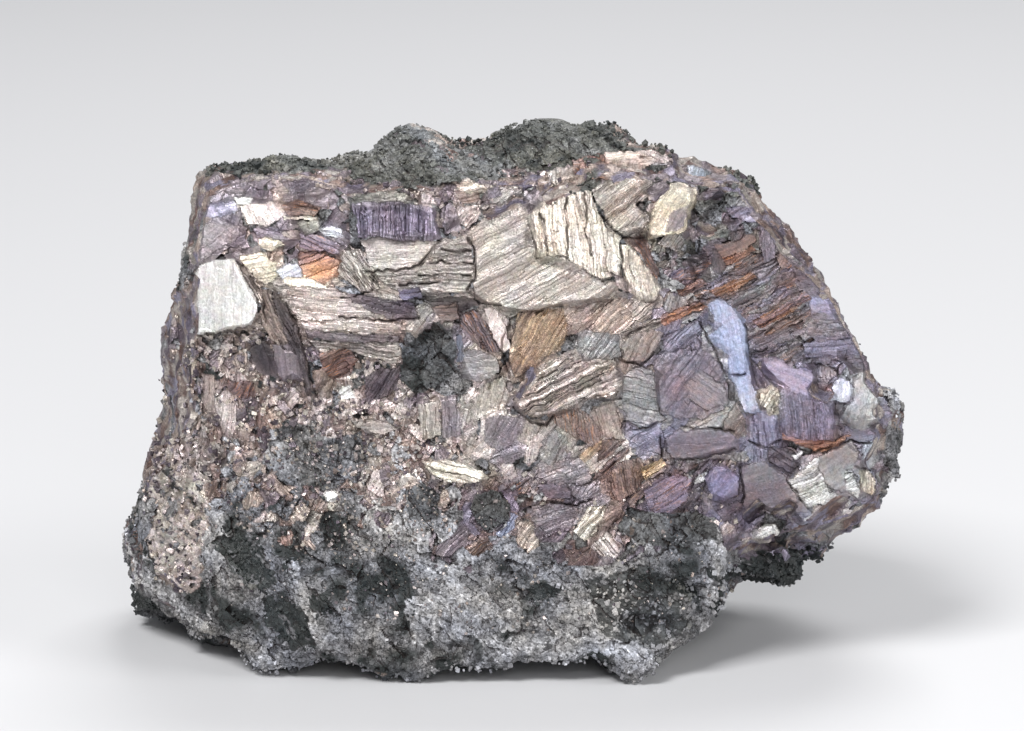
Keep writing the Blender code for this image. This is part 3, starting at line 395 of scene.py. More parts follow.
# Waves that bend the drawn outlines, the loose ones (pixels) and the layers: height and cell of each
DRAWN_WAVES = ((1.6, 13.0), (1.2, 4.5))
LOOSE_WAVES = ((7.0, 34.0), (4.0, 11.0), (2.0, 4.0))
CURVED_WAVES = ((0.40, 1.5), (0.16, 0.5))

# Places of the view without any grain and of bare rock, and how the cells of the grains are numbered
EMPTY = -1
BARE = -2
FIRST_GRAIN = 1000
AREA_CELLS = 65537
LAYER_SEEDS = 4099

# The drawn grains: how many samples one needs, how far it is flattened, raised and sunk
FEWEST_SAMPLES = 6
MOST_FLATTENED = 0.3
LIFT_SHARE = 0.2
GRAIN_SINK = 0.05

# The small grains: the two sizes of their cells, the share of the smaller ones, and how many of them
# are rock where an area has faded
LARGE_CELL = 1.35
SMALL_CELL = 0.6
SMALL_SHARE = 0.45
FADED_SHARE = 0.92
NO_FADE = (VIEW_WIDTH, 1.0)

# Rock: how deep it lies between grains, its chips (size, height, seed), and where its dark top ends
BARE_DEPTH = 0.15
ROCK_SINK = 0.05
ROCK_CHIPS = ((1.5, 0.3, 40), (0.5, 0.14, 45))
ROCK_GRAIN = -50.0
TOP_ROW = 230.0
TOP_FADE = 40.0

# Tarnish grows stronger to the right in the view, and shifts the colour by this hue
TARNISH_START = 460.0
TARNISH_LENGTH = 220.0
TARNISH_HUE = (1.0, -0.08, -0.75)

# How many samples away a dark grain takes colour from, and the open cracks in pixels and millimetres
BLEND_REACH = 8
CRACK_WIDTH = 1.0
CRACK_DEPTH = 0.35

# Which samples make faces: facing the view, no steps; small holes are filled, small islands dropped
LEAST_FACING = 0.2
LARGEST_JUMP = 0.9
HOLE_REACH = 7
HOLE_SHARE = 0.07
DEEPEST_HOLE = 6.0
ISLAND_REACH = 3

# The panels of the front, how deep the rings of their borders sink, where they cover the skin, and
# how deep the skin lies near and under them
PANELS = 4
BORDER_DEPTHS = (1.1, 0.8, 0.55, 0.38, 0.25, 0.15, 0.08)
COVER_FACING = 0.1
NEAR_DEPTH = 0.22
COVERED_DEPTH = 1.3

# Crumbs: how far one may be moved onto the panels, their smaller size where they are sprinkled,
# and the corners and faces of the block that each one is made from
FARTHEST_SHIFT = 1.0
SPRINKLED_SIZE = 0.62
FLOOR_GAP = 0.02
CUBE = np.array([(x, y, z) for x in (-1, 1) for y in (-1, 1) for z in (-1, 1)], dtype=float)
CUBE_FACES = np.array([(0, 1, 3, 2), (4, 6, 7, 5), (0, 4, 5, 1), (2, 3, 7, 6), (0, 2, 6, 4), (1, 5, 7, 3)])

# The finish of metal and rock, and the linear colours of rock and of the shade painted into hollows, cracks
# and thin lines along the layers
METAL_LIGHT = 1.08
METALLIC = 0.6
ROCK_ROUGHNESS = 0.62
ROCK_STREAK = 0.45
LAMELLA_STRETCH = 0.07
ROCK_GREY = (0.225, 0.223, 0.236)
ROCK_TOP = (0.11, 0.112, 0.10)
ROCK_DARK = (0.022, 0.027, 0.027)
ROCK_PALE = (0.47, 0.47, 0.49)
# Painted shade: the dark colour that hollows, cracks and thin lines along the layers are painted with
PAINTED_SHADE = (0.045, 0.03, 0.028)

# The studio, in metres: the floor, what the lights aim at, and the name, place, size and power of each
FLOOR_HALF = 3.0
AIM = (0.0, 0.0, 0.022)
LIGHTS = (
    ("key", (-0.28, -0.36, 0.62), 0.3, 5.6),
    ("front", (0.12, -0.8, 0.34), 0.4, 2.5),
    ("right", (0.55, -0.2, 0.35), 0.3, 1.8),
    ("back", (0.1, 0.45, 0.6), 0.35, 3.0),
)
SENSOR = 36.0


# Colours, outlines and random waves
def linear(colours):
    """Hexadecimal sRGB colours as the linear values that a shader wants."""
    parts = [[int(colour[place:place + 2], 16) for place in (0, 2, 4)] for colour in colours.split()]
    part = np.array(parts, dtype=float) / 255.0
    return np.where(part <= 0.04045, part / 12.92, ((part + 0.055) / 1.055) ** 2.4)


def spots(text):
    """The places of a line or an outline."""
    return [tuple(float(part) for part in pair.split(",")) for pair in text.split()]


def inside(outline, x, y):
    """Which places lie inside an outline."""
    outline = spots(outline)
    hit = np.zeros(np.shape(x), dtype=bool)
    for (x_a, y_a), (x_b, y_b) in zip(outline, outline[1:] + outline[:1]):
        if y_a == y_b:
            continue
        crosses = (y_a > y) != (y_b > y)
        hit ^= crosses & (x < (x_b - x_a) * (y - y_a) / (y_b - y_a) + x_a)
    return hit


def inside_any(outlines, x, y):
    """Which places lie inside one of the outlines."""
    hit = np.zeros(np.shape(x), dtype=bool)
    for outline in outlines:
        hit |= inside(outline, x, y)
    return hit


def in_zones(x, y):
    """Which places lie in the areas of metal."""
    return inside_any([zone[-1] for zone in ZONES.values()], x, y)


def hashed(a, b, seed):
    """A number from 0 to 1, always the same for the same whole numbers."""
    value = 0
    for part, factor in zip((a, b, seed), SCRAMBLE):
        value = value + np.asarray(part).astype(np.int64) * factor
    for shift, factor in SCRAMBLE_AGAIN:
        value = value & ALL_BITS
        value = (value ^ (value >> shift)) * factor
    value = value & ALL_BITS
    return (value ^ (value >> LAST_SHIFT)) / (ALL_BITS + 1.0)


def either_way(a, b, seed):
    """A number from -1 to 1, always the same for the same whole numbers."""
    return hashed(a, b, seed) * 2.0 - 1.0


def unit(values):
    """The values, held between 0 and 1."""
    return np.clip(values, 0.0, 1.0)


def mixed(first, second, share):
    """From the first at share 0 to the second at share 1."""
    return first * (1.0 - share) + second * share


def wave(x, y, cell, seed):
    """Smooth random values from -1 to 1, changing over about one cell."""
    column, row = np.floor(x / cell), np.floor(y / cell)
    across, down = x / cell - column, y / cell - row
    across = across * across * (3.0 - 2.0 * across)
    down = down * down * (3.0 - 2.0 * down)
    top = hashed(column, row, seed) * (1.0 - across) + hashed(column + 1, row, seed) * across
    low = hashed(column, row + 1, seed) * (1.0 - across) + hashed(column + 1, row + 1, seed) * across
    return (top * (1.0 - down) + low * down) * 2.0 - 1.0


def rough(x, y, cell, seed, octaves=4, fade=0.55):
    """Waves on waves, each half as long as the one before."""
    total = np.zeros(np.shape(x))
    size = 1.0
    for octave in range(octaves):
        total = total + wave(x, y, cell * 0.5 ** octave, seed + octave) * size
        size *= fade
    return total


def moved_about(x, y, waves, seed):
    """Places pushed sideways and up by waves, each with its height and cell."""
    moved_x, moved_y = x, y
    for number, (height, cell) in enumerate(waves):
        moved_x = moved_x + height * wave(x, y, cell, seed + number)
        moved_y = moved_y + height * wave(x, y, cell, seed + len(waves) + number)
    return moved_x, moved_y


def mosaic(x, y, size, seed):
    """Splits places into cells: the cell's number, and the offset from its middle."""
    column, row = np.floor(x / size), np.floor(y / size)
    nearest = np.full(np.shape(x), np.inf)
    number = np.zeros(np.shape(x))
    offset_x = np.zeros(np.shape(x))
    offset_y = np.zeros(np.shape(x))
    for right in (-1, 0, 1):
        for down in (-1, 0, 1):
            a, b = column + right, row + down
            shift_x = x - (a + 0.1 + 0.8 * hashed(a, b, seed)) * size
            shift_y = y - (b + 0.1 + 0.8 * hashed(a, b, seed + 1)) * size
            apart = np.hypot(shift_x, shift_y)
            closer = apart < nearest
            nearest = np.where(closer, apart, nearest)
            number = np.where(closer, a * 8191 + b, number)
            offset_x = np.where(closer, shift_x, offset_x)
            offset_y = np.where(closer, shift_y, offset_y)
    return number, offset_x, offset_y


def turned(x, y, degrees):
    """Places as their distance along and across a direction."""
    turn = np.radians(degrees)
    return x * np.cos(turn) + y * np.sin(turn), -x * np.sin(turn) + y * np.cos(turn)


def layers(across, along, width, seed, wobble=1.0):
    """Crystal layers: number of each strip and broken piece, place across the strip, bent place across."""
    bent = across + wobble * (0.2 * wave(along, across, 3.4, 77) + 0.12 * wave(along, across, 1.1, 78)
                              + 0.06 * wave(along, across, 0.45, 79))
    uneven = bent / width + 0.85 * wave(bent / width, seed * 13.7, 3.0, 5)
    strip = np.floor(uneven)
    broken = along / (width * 5.0 + 1.2) + hashed(strip, seed, 3) * 9.0 + 0.12 * wave(along, across, 0.5, 8)
    return strip, strip * 131 + np.floor(broken), uneven - strip - 0.5, bent


def palette_colours(names, choice, first, second, drift):
    """Layer colour and streak colour of each place, from the palette with the chosen number."""
    tint = np.zeros(np.shape(choice) + (3,))
    streak = np.zeros(np.shape(choice) + (3,))
    for number, name in enumerate(names):
        mask = choice == number
        if not mask.any():
            continue
        layer_colours = linear(PALETTES[name][0])
        streak_colours = linear(PALETTES[name][1])
        one = layer_colours[(first[mask] * len(layer_colours)).astype(int)]
        two = layer_colours[(second[mask] * len(layer_colours)).astype(int)]
        share = drift[mask][:, None]
        tint[mask] = mixed(one, two, share)
        streak[mask] = streak_colours[(second[mask] * len(streak_colours)).astype(int)]
    return tint, streak


# Places in the view and on the solid
def to_view(points):
    """Points of the room as their places in the view and how far they stand out of its plane."""
    offset = points - VIEW_ORIGIN
    out = offset @ TOWARDS
    spread = MM_PER_PIXEL * (1.0 - out / VIEW_DISTANCE)
    return VIEW_CENTRE[0] + (offset @ RIGHT) / spread, VIEW_CENTRE[1] - (offset @ UP) / spread, out


def from_view(px, py, out):
    """Places in the view, each standing out by its own distance, as points of the room."""
    spread = MM_PER_PIXEL * (1.0 - out / VIEW_DISTANCE)
    right = (px - VIEW_CENTRE[0]) * spread
    up = (VIEW_CENTRE[1] - py) * spread
    return VIEW_ORIGIN + right[..., None] * RIGHT + up[..., None] * UP + out[..., None] * TOWARDS


def drawn_in(gap):
    """Gaps to a wall, the small and negative ones turned into ever smaller gaps."""
    return np.where(gap < BOX_MARGIN, BOX_MARGIN * np.exp(np.minimum(gap / BOX_MARGIN - 1.0, 0.0)), gap)


class Surface:
    """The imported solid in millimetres, and where a ray meets it."""

    def __init__(self, node):
        body = bmesh.new()
        body.from_mesh(node.data)
        bmesh.ops.remove_doubles(body, verts=body.verts, dist=1e-6)
        bmesh.ops.scale(body, vec=(1.0 / METRE,) * 3, verts=body.verts)
        bmesh.ops.triangulate(body, faces=body.faces)
        body.normal_update()
        self.mesh = bpy.data.meshes.new("surface")
        body.to_mesh(self.mesh)
        body.free()
        self.points = np.array([vert.co for vert in self.mesh.vertices])
        self.corners = np.array([tuple(face.vertices) for face in self.mesh.polygons])
        self.tree = BVHTree.FromPolygons(self.points.tolist(), self.corners.tolist())
        self.low = self.points.min(axis=0)
        self.high = self.points.max(axis=0)

    def kept_inside(self, points):
        """Points near the solid's own box drawn in, so that none goes beyond it."""
        below = points - self.low
        below[:, :2] = drawn_in(below[:, :2])
        above = drawn_in(self.high - self.low - below)
        return np.clip(self.high - above, self.low, self.high)


def colour_layer(mesh, name, colours):
    """Stores a colour at each point."""
    rows = np.ones((len(colours), 4), dtype=np.float32)
    rows[:, :3] = unit(colours)
    layer = mesh.color_attributes.new(name, "FLOAT_COLOR", "POINT")
    layer.data.foreach_set("color", rows.ravel())


def vector_layer(mesh, name, rows):
    """Stores three numbers at each point."""
    layer = mesh.attributes.new(name, "FLOAT_VECTOR", "POINT")
    layer.data.foreach_set("vector", np.asarray(rows, dtype=np.float32).ravel())


def place_piece(name, surface, points, faces, look, material):
    """Makes a piece, which rides on the one body and takes the rock's finish."""
    mesh = bpy.data.meshes.new(name)
    mesh.from_pydata((surface.kept_inside(points) * METRE).tolist(), [], faces.tolist())
    colour_layer(mesh, "tint", look["tint"])
    colour_layer(mesh, "streak", look["streak"])
    vector_layer(mesh, "lamella", look["lamella"])
    vector_layer(mesh, "finish", look["finish"])
    mesh.materials.append(material)
    mesh.shade_flat()
    piece = bpy.data.objects.new(name, mesh)
    bpy.context.scene.collection.objects.link(piece)
    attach(piece, "root")
    return piece


# Helpers of the relief
def plane_over(x, y, out, mask, cover=0.55, steepest=1.0, reach=2.5):
    """A plane over a share of the surface in a mask, read at the mask's places."""
    rows = np.stack([np.ones(mask.sum()), x[mask], y[mask]], axis=1)
    level = np.median(out[mask])
    near = np.abs(out[mask] - level) < reach
    centre = rows[near].mean(axis=0) * np.array((0.0, 1.0, 1.0))
    plane = np.linalg.lstsq(rows[near] - centre, out[mask][near], rcond=None)[0]
    plane[1:] = np.clip(plane[1:], -steepest, steepest)
    laid = (rows - centre) @ plane
    return laid + np.quantile((out[mask] - laid)[near], cover)


def shrunk(mask):
    """The mask without its outermost ring."""
    padded = np.pad(mask, 1)
    return mask & padded[:-2, 1:-1] & padded[2:, 1:-1] & padded[1:-1, :-2] & padded[1:-1, 2:]


def softened(values, reach):
    """Each value as the mean of its neighbours."""
    for axis in (0, 1):
        total = values.copy()
        for step in range(1, reach + 1):
            total = total + np.roll(values, step, axis) + np.roll(values, -step, axis)
        values = total / (2 * reach + 1)
    return values


def hollow(relief, out, reach, jump):
    """How far each place lies below its neighbours, without the solid's own sharp steps."""
    shape = softened(out, reach) - out
    return softened(relief, reach) - relief + np.where(np.abs(shape) < jump, shape, 0.0)


def rock_look(x, y, z, top, dark, pale, speckled=0.0):
    """Colour of the granular rock, and how thickly flakes lie in it."""
    mood = 0.6 * rough(x + 0.7 * y, z - 0.5 * y, 4.5, 61, 3) + 0.4 * wave(x - y, z + y, 1.1, 65)
    clear = unit(mood * 2.2 - 0.2)
    clear = np.where(pale, np.maximum(clear, 0.8), clear) * (1.0 - 0.7 * top)
    murky = unit(-mood * 2.4 - 0.3)
    murky = np.maximum(np.where(dark, 1.0, murky * (1.0 - pale)), speckled)
    base = np.array(ROCK_GREY)
    for colour, share in ((ROCK_TOP, top), (ROCK_PALE, clear), (ROCK_DARK, murky)):
        base = mixed(base, np.array(colour), share[..., None])
    hue = wave(x + 0.6 * y, z, 2.6, 62) + 0.5 * wave(x, z + y, 0.7, 63)
    base = base * (1.0 + hue[..., None] * np.array((-0.05, -0.01, 0.07)))
    speck = wave(x + 0.4 * y, z - 0.4 * y, 0.24, 66) + 0.8 * wave(x - 0.3 * y, z + 0.3 * y, 0.13, 67)
    light = 0.95 + 0.3 * speck - 0.55 * (speck < -0.75) + 0.6 * (speck > 0.9) * (1.0 - murky)
    flakes = unit(0.9 - 0.6 * clear - 0.7 * murky)
    return base * np.clip(light, 0.25, 2.0)[..., None], flakes


def grooves(px, py):
    """How near each place is to an open crack, 1 on its line."""
    near = np.zeros(px.shape)
    for line in CRACKS:
        line = spots(line)
        for (x_a, y_a), (x_b, y_b) in zip(line[:-1], line[1:]):
            length = (x_b - x_a) ** 2 + (y_b - y_a) ** 2
            share = unit(((px - x_a) * (x_b - x_a) + (py - y_a) * (y_b - y_a)) / length)
            apart = np.hypot(px - x_a - share * (x_b - x_a), py - y_a - share * (y_b - y_a))
            near = np.maximum(near, np.exp(-(apart / CRACK_WIDTH) ** 2))
    return near


def grain_rows():
    """The drawn grains one by one: palette, angle, width, height, distance out, and outline."""
    for row in GRAINS.strip().replace("\n ", " ").splitlines():
        palette, angle, width, height, lift, outline = row.split(None, 6)[1:]
        yield palette, float(angle), float(width), float(height), float(lift), outline


# The front
class Front:
    """The samples of the view, each with its grain, layers, relief and colour."""

    def __init__(self, surface):
        self.surface = surface
        self.px, self.py = np.meshgrid(np.arange(*FRONT_COLUMNS, FRONT_STEP),
                                       np.arange(*FRONT_ROWS, FRONT_STEP))
        self.x = (self.px - VIEW_CENTRE[0]) * MM_PER_PIXEL
        self.y = (VIEW_CENTRE[1] - self.py) * MM_PER_PIXEL
        self.drawn = moved_about(self.px, self.py, DRAWN_WAVES, 1)
        self.loose = moved_about(self.px, self.py, LOOSE_WAVES, 5)
        self.curved = moved_about(self.x, self.y, CURVED_WAVES, 33)
        shape = self.px.shape
        self.out = np.full(shape, np.nan)
        self.normals = np.zeros(shape + (3,))
        self.cast()
        self.known = ~np.isnan(self.out)
        self.cell = np.zeros(shape)
        self.angle = np.zeros(shape)
        self.width = np.ones(shape)
        self.step = np.zeros(shape)
        self.palette = np.full(shape, EMPTY)
        self.relief = np.zeros(shape)
        self.murky = np.zeros(shape)
        self.main = np.zeros(shape, dtype=bool)

    def cast(self):
        """Finds how far each sample stands out where the view meets the solid, and its normal."""
        rays = from_view(self.px, self.py, np.zeros(self.px.shape)) - CAMERA_PLACE
        rays /= np.linalg.norm(rays, axis=-1, keepdims=True)
        start = Vector(CAMERA_PLACE)
        for place, ray in zip(np.ndindex(self.px.shape), rays.reshape(-1, 3).tolist()):
            found, normal, index, distance = self.surface.tree.ray_cast(start, ray)
            if found is not None:
                self.out[place] = (found - Vector(VIEW_ORIGIN)).dot(Vector(TOWARDS))
                self.normals[place] = normal

    def lay_grains(self):
        """The drawn grains, each flattened towards a plane over the solid's own surface."""
        for number, (kind, angle, width, step, lift, outline) in enumerate(grain_rows()):
            mask = inside(outline, *self.drawn) & self.known & (self.palette < 0)
            if mask.sum() < FEWEST_SAMPLES:
                continue
            self.cell[mask] = FIRST_GRAIN + number
            self.angle[mask] = angle
            self.width[mask] = width
            self.step[mask] = step
            self.palette[mask] = PALETTE_NAMES.index(kind)
            self.main[mask] = True
            flat = plane_over(self.x, self.y, self.out, mask) - self.out[mask]
            flat = np.clip(flat, -MOST_FLATTENED, MOST_FLATTENED)
            self.relief[mask] = flat + lift * LIFT_SHARE - GRAIN_SINK

    def lay_areas(self):
        """The areas of small grains: cells of two sizes, each tilted and raised on its own."""
        for index, (area, zone) in enumerate(ZONES.items()):
            kinds, size, stretch, angle, spread, width, step, tilt, level, outline = zone
            kinds = np.array([PALETTE_NAMES.index(kind) for kind in kinds.split()])
            mask = inside(outline, *self.loose) & self.known & (self.palette == EMPTY)
            along, across = turned(self.curved[0][mask], self.curved[1][mask], angle)
            large = mosaic(along / stretch, across, size * LARGE_CELL, 100 + index * 7)
            small = mosaic(along / stretch, across, size * SMALL_CELL, 103 + index * 7)
            split = hashed(large[0], index, 10) < SMALL_SHARE
            number, right, up = (np.where(split, one, other) for one, other in zip(small, large))
            self.cell[mask] = number + index * AREA_CELLS
            self.angle[mask] = angle + either_way(number, index, 11) * spread
            self.width[mask] = width
            self.step[mask] = step
            mood = 0.5 + 0.5 * wave(along / stretch - right, across - up, size * 4.0, 130 + index)
            choice = ((0.6 * hashed(number, index, 12) + 0.4 * mood) * len(kinds)).astype(int)
            lean = either_way(number, index, 13) * tilt
            nod = either_way(number, index, 14) * tilt
            self.relief[mask] = (hashed(number, index, 15) - 0.6) * level * 0.6 + lean * right + nod * up
            start, length = FADES.get(area, NO_FADE)
            low = unit((self.py[mask] - start) / length)
            rocky = hashed(number, index, 16) < ROCK_SHARE.get(area, 0.0) * (1.0 - low) + FADED_SHARE * low
            self.palette[mask] = np.where(rocky, BARE, kinds[choice])

    def bare_rock(self):
        """Rock that shows between the grains."""
        half_loose = [(loose + exact) / 2.0 for loose, exact in zip(self.loose, (self.px, self.py))]
        for murkiness, outline in BARE_ROCK:
            bare = inside(outline, *half_loose)
            self.murky[bare] = murkiness
            self.palette[bare] = BARE
            self.relief[bare] -= BARE_DEPTH

    def build_layers(self):
        """Wears part of the relief down, and builds the metal up in broken layers."""
        self.metal = self.palette >= 0
        worn = unit(0.6 + 1.6 * wave(self.x, self.y, 2.6, 75))
        self.relief = mixed(self.relief, softened(self.relief, 4), worn)
        self.along, self.across = turned(self.x, self.y, self.angle)
        self.strip, self.piece, self.place, self.bent = layers(
            self.across, self.along, self.width, np.mod(self.cell, LAYER_SEEDS),
            np.clip(0.5 + 2.6 * self.step, 0.6, 1.7))
        raised = (hashed(self.piece, self.cell, 21) - 0.5) * 0.9
        tilted = self.place * (hashed(self.strip, self.cell, 22) - 0.35) * 1.3
        self.relief += self.step * (raised + tilted)
        self.relief += self.metal * 0.05 * rough(self.x, self.y, 1.1, 30)

    def break_rock(self):
        """The broken relief of the rock, calm on its dark cleavage faces."""
        rock = ~self.metal
        self.dark = inside_any(DARK_FACES, *self.loose) & rock
        self.pale = inside_any(PALE_PATCHES, *self.loose)
        self.down, self.aside = turned(*self.curved, ROCK_GRAIN)
        chips = np.zeros(self.px.shape)
        for size, high, seed in ROCK_CHIPS:
            number, right, up = mosaic(self.down / 1.8, self.aside, size, seed)
            chips += (hashed(number, 1, seed) - 0.5) * high
            chips += ((hashed(number, 2, seed) - 0.5) * right + (hashed(number, 3, seed) - 0.5) * up) * 0.9
        calm = np.where(self.dark, 0.3, 1.0)
        relief = (0.26 * rough(self.x, self.y, 3.2, 50, 6, 0.58) + chips) * calm
        self.relief[rock] += relief[rock] - ROCK_SINK

    def colour_metal(self):
        """The metal's colour: by grain, strip and broken piece, with stripes, painted shade in the splits
        between layers, and tarnish.
        """
        x, y, along, across, cell = self.x, self.y, self.along, self.across, self.cell
        tint, self.streak = palette_colours(PALETTE_NAMES, self.palette, hashed(self.strip, cell, 23),
                                            hashed(cell, 2, 24), 0.5 + 0.5 * wave(x, y, 1.6, 31))
        around = softened(tint, BLEND_REACH)
        around = around / np.maximum(softened(self.metal * 1.0, BLEND_REACH), 0.05)[..., None]
        tint = mixed(tint, around, 0.45 * unit(1.6 - 2.2 * tint[..., 1:2]))
        striped = np.clip(self.step / 0.24, 0.25, 1.0)
        tint *= (1.0 + striped * (0.26 * hashed(self.piece, cell, 25) - 0.12))[..., None]
        run = along * 0.1
        stripes = 0.15 * wave(across, run, 0.13, 26) + 0.10 * wave(across, run, 0.45, 27)
        tint *= (1.0 + striped * stripes + 0.12 * wave(x, y, 0.14, 29))[..., None]
        for channel, seed in enumerate((141, 151, 161)):
            tint[..., channel] *= 1.0 + 0.03 * wave(x, y, 1.6, seed) + 0.03 * wave(x, y, 0.3, seed + 1)
        # Painted shade: the edges of some layers are darkened as if shade falls into the splits between
        # them
        split = unit(1.0 - (0.5 - np.abs(self.place)) * self.width / 0.06)
        split = split * (hashed(self.piece, cell, 28) < 0.55)
        tint *= (1.0 - 0.5 * split * self.metal * striped)[..., None]
        tarnish = (0.07 * wave(x, y, 1.9, 101) + 0.05 * wave(across, along * 0.2, 0.5, 102)
                   + 0.06 * wave(x, y, 0.25, 103) - 0.02)
        tarnish = tarnish * (0.5 + 0.6 * unit((self.px - TARNISH_START) / TARNISH_LENGTH))
        tarnish *= np.clip(1.35 - 1.3 * tint[..., 1], 0.3, 1.2) * np.where(tarnish < 0.0, 0.65, 1.0)
        self.tint = tint * (METAL_LIGHT * (1.0 + tarnish[..., None] * np.array(TARNISH_HUE)))

    def colour_rock(self):
        """The rock's colour, with painted glints on its dark cleavage faces."""
        top = unit((TOP_ROW - self.py) / TOP_FADE)
        x, y, z = np.moveaxis(from_view(self.px, self.py, np.nan_to_num(self.out)), -1, 0)
        tint, self.flakes = rock_look(x, y, z, top, self.dark, self.pale, self.murky)
        # Painted highlight: light grey glints laid in streaks on the dark cleavage faces
        shine = wave(self.aside, self.down * 0.2, 0.28, 68) + 0.5 * wave(self.x, self.y, 0.2, 69)
        tint[self.dark & (shine > 0.62)] = np.array(ROCK_GREY) * 0.7
        rock = ~self.metal
        self.tint[rock] = tint[rock]
        self.streak[rock] = tint[rock] * ROCK_STREAK

    def open_cracks(self):
        """Cracks between and across the grains, grooved and painted with shade, painted shade in hollows,
        and a painted highlight on raised places.
        """
        metal = self.metal
        edge = np.zeros(self.px.shape)
        for axis in (0, 1):
            edge = np.maximum(edge, (self.cell != np.roll(self.cell, 1, axis)) & metal)
        # Cracks between grains are grooved into the relief and, where the wave allows, painted with shade
        crack = edge * unit(-0.2 + 1.2 * wave(self.x, self.y, 1.8, 71))
        open_crack = grooves(*self.drawn) * np.clip(0.8 + 0.5 * wave(self.x, self.y, 1.2, 72), 0.3, 1.0)
        self.relief -= crack * 0.12 + open_crack * CRACK_DEPTH
        # Painted shade: tint and streak colours are darkened towards the shade colour by how far a place
        # lies below its neighbours, and along the cracks
        cavity = hollow(self.relief, np.nan_to_num(self.out), 1, 0.15)
        broad = hollow(self.relief, np.nan_to_num(self.out), 4, 0.6)
        shade_amount = unit(cavity / 0.16) * np.where(metal, 0.35, 0.6) + np.clip(broad / 0.8, 0.0, 0.3)
        self.shade_amount = np.maximum.reduce([shade_amount, crack * 0.45, open_crack * 0.9])
        self.tint = mixed(self.tint, np.array(PAINTED_SHADE), self.shade_amount[..., None])
        self.streak = mixed(self.streak, np.array(PAINTED_SHADE), self.shade_amount[..., None])
        # Painted highlight: places that stand above their neighbours are painted lighter, more on rock than
        # on metal
        self.tint *= (1.0 + np.where(metal, 0.1, 0.3) * unit(-cavity / 0.15))[..., None]

    def look(self):
        """The layers that the material reads, one row for each sample."""
        metal, along = self.metal, self.along
        spacing = 0.7 + 0.8 * hashed(self.cell, 5, 29)
        lamella = np.stack([np.where(metal, self.bent * spacing, self.x),
                            np.where(metal, along, self.y) * np.where(metal, LAMELLA_STRETCH, 1.0),
                            np.mod(self.cell, 61.0)], axis=-1)
        lines = np.clip(self.step / 0.26 - 0.15, 0.05, 1.0)
        lines = lines * np.clip(0.75 + 0.6 * wave(self.across, along * 0.5, 1.6, 98), 0.2, 1.1)
        # Metal is made less metallic where shade is painted
        finish = np.stack([np.where(metal, METALLIC, 0.0) * (1.0 - 0.6 * self.shade_amount),
                           np.where(metal, 0.36, np.where(self.dark, 0.35, ROCK_ROUGHNESS)),
                           np.where(metal, lines, self.flakes)], axis=-1)
        return {"tint": self.tint, "streak": self.streak, "lamella": lamella, "finish": finish}

    def kept_faces(self):
        """The faces to keep: none on edge or over a step, no small holes, no small islands."""
        corners = [self.out[:-1, :-1], self.out[1:, :-1], self.out[1:, 1:], self.out[:-1, 1:]]
        jump = np.maximum.reduce(corners) - np.minimum.reduce(corners)
        kept = (jump < LARGEST_JUMP) & (self.normals[:-1, :-1] @ TOWARDS > LEAST_FACING)
        kept |= (softened(1.0 - kept, HOLE_REACH) < HOLE_SHARE) & (jump < DEEPEST_HOLE)
        solid = softened(kept * 1.0, ISLAND_REACH) > 0.999
        return kept & (softened(solid * 1.0, ISLAND_REACH) > 0.0)

    def sink_borders(self, faces_kept):
        """Sets the points, with the outermost rings of the kept faces sunk into the skin."""
        rows, columns = self.px.shape
        self.used = np.zeros(self.px.shape, dtype=bool)
        whole = np.ones(self.px.shape, dtype=bool)
        for down, right in ((0, 0), (1, 0), (1, 1), (0, 1)):
            place = np.s_[down:rows - 1 + down, right:columns - 1 + right]
            self.used[place] |= faces_kept
            whole[place] &= faces_kept
        self.covered = self.used
        sunk = np.zeros(self.px.shape)
        share = np.zeros(self.px.shape)
        for depth in BORDER_DEPTHS:
            self.covered = shrunk(self.covered) & whole
            sunk = np.where(self.covered, sunk, np.maximum(sunk, depth))
            share += self.covered / len(BORDER_DEPTHS)
        out = np.nan_to_num(self.out) + self.relief * share
        self.points = from_view(self.px, self.py, out) - self.normals * sunk[..., None]

    def panels(self, material):
        """The front as sheets of small faces, from left to right."""
        rows, columns = self.px.shape
        faces_kept = self.kept_faces()
        self.sink_borders(faces_kept)
        look = self.look()
        index = np.arange(rows * columns).reshape(rows, columns)
        corners = np.stack([index[:-1, :-1], index[1:, :-1], index[1:, 1:], index[:-1, 1:]], axis=-1)
        shares = np.linspace(0, columns - 1, PANELS + 1).astype(int)
        for number, (first, last) in enumerate(zip(shares[:-1], shares[1:])):
            faces = corners[:, first:last][faces_kept[:, first:last]]
            kept, faces = np.unique(faces, return_inverse=True)
            part = {name: layer.reshape(-1, 3)[kept] for name, layer in look.items()}
            place_piece("front_%d" % (number + 1), self.surface, self.points.reshape(-1, 3)[kept],
                        faces.reshape(-1, 4), part, material)

    def cover(self, points, normals):
        """Which points the panels cover, and the row and column of each point's sample."""
        px, py, out = to_view(points)
        rows, columns = self.covered.shape
        column = np.clip(((px - FRONT_COLUMNS[0]) / FRONT_STEP).round().astype(int), 0, columns - 1)
        row = np.clip(((py - FRONT_ROWS[0]) / FRONT_STEP).round().astype(int), 0, rows - 1)
        return self.covered[row, column] & (normals @ TOWARDS > COVER_FACING), row, column


# The skin
def remeshed(surface):
    """The solid's own surface, evenly meshed."""
    work = bpy.data.objects.new("skin_work", surface.mesh.copy())
    bpy.context.scene.collection.objects.link(work)
    modifier = work.modifiers.new("Remesh", "REMESH")
    modifier.mode = "VOXEL"
    modifier.voxel_size = SKIN_VOXEL
    graph = bpy.context.evaluated_depsgraph_get()
    mesh = bpy.data.meshes.new_from_object(work.evaluated_get(graph))
    bpy.data.objects.remove(work)
    points = np.empty(len(mesh.vertices) * 3)
    mesh.vertices.foreach_get("co", points)
    normals = np.empty(len(mesh.vertices) * 3)
    mesh.vertices.foreach_get("normal", normals)
    faces = np.array([tuple(face.vertices) for face in mesh.polygons])
    return points.reshape(-1, 3), normals.reshape(-1, 3), faces


def upward(normals):
    """0 on walls and undersides, 1 on what faces up."""
    return unit(normals[:, 2] * 1.6 - 0.4)


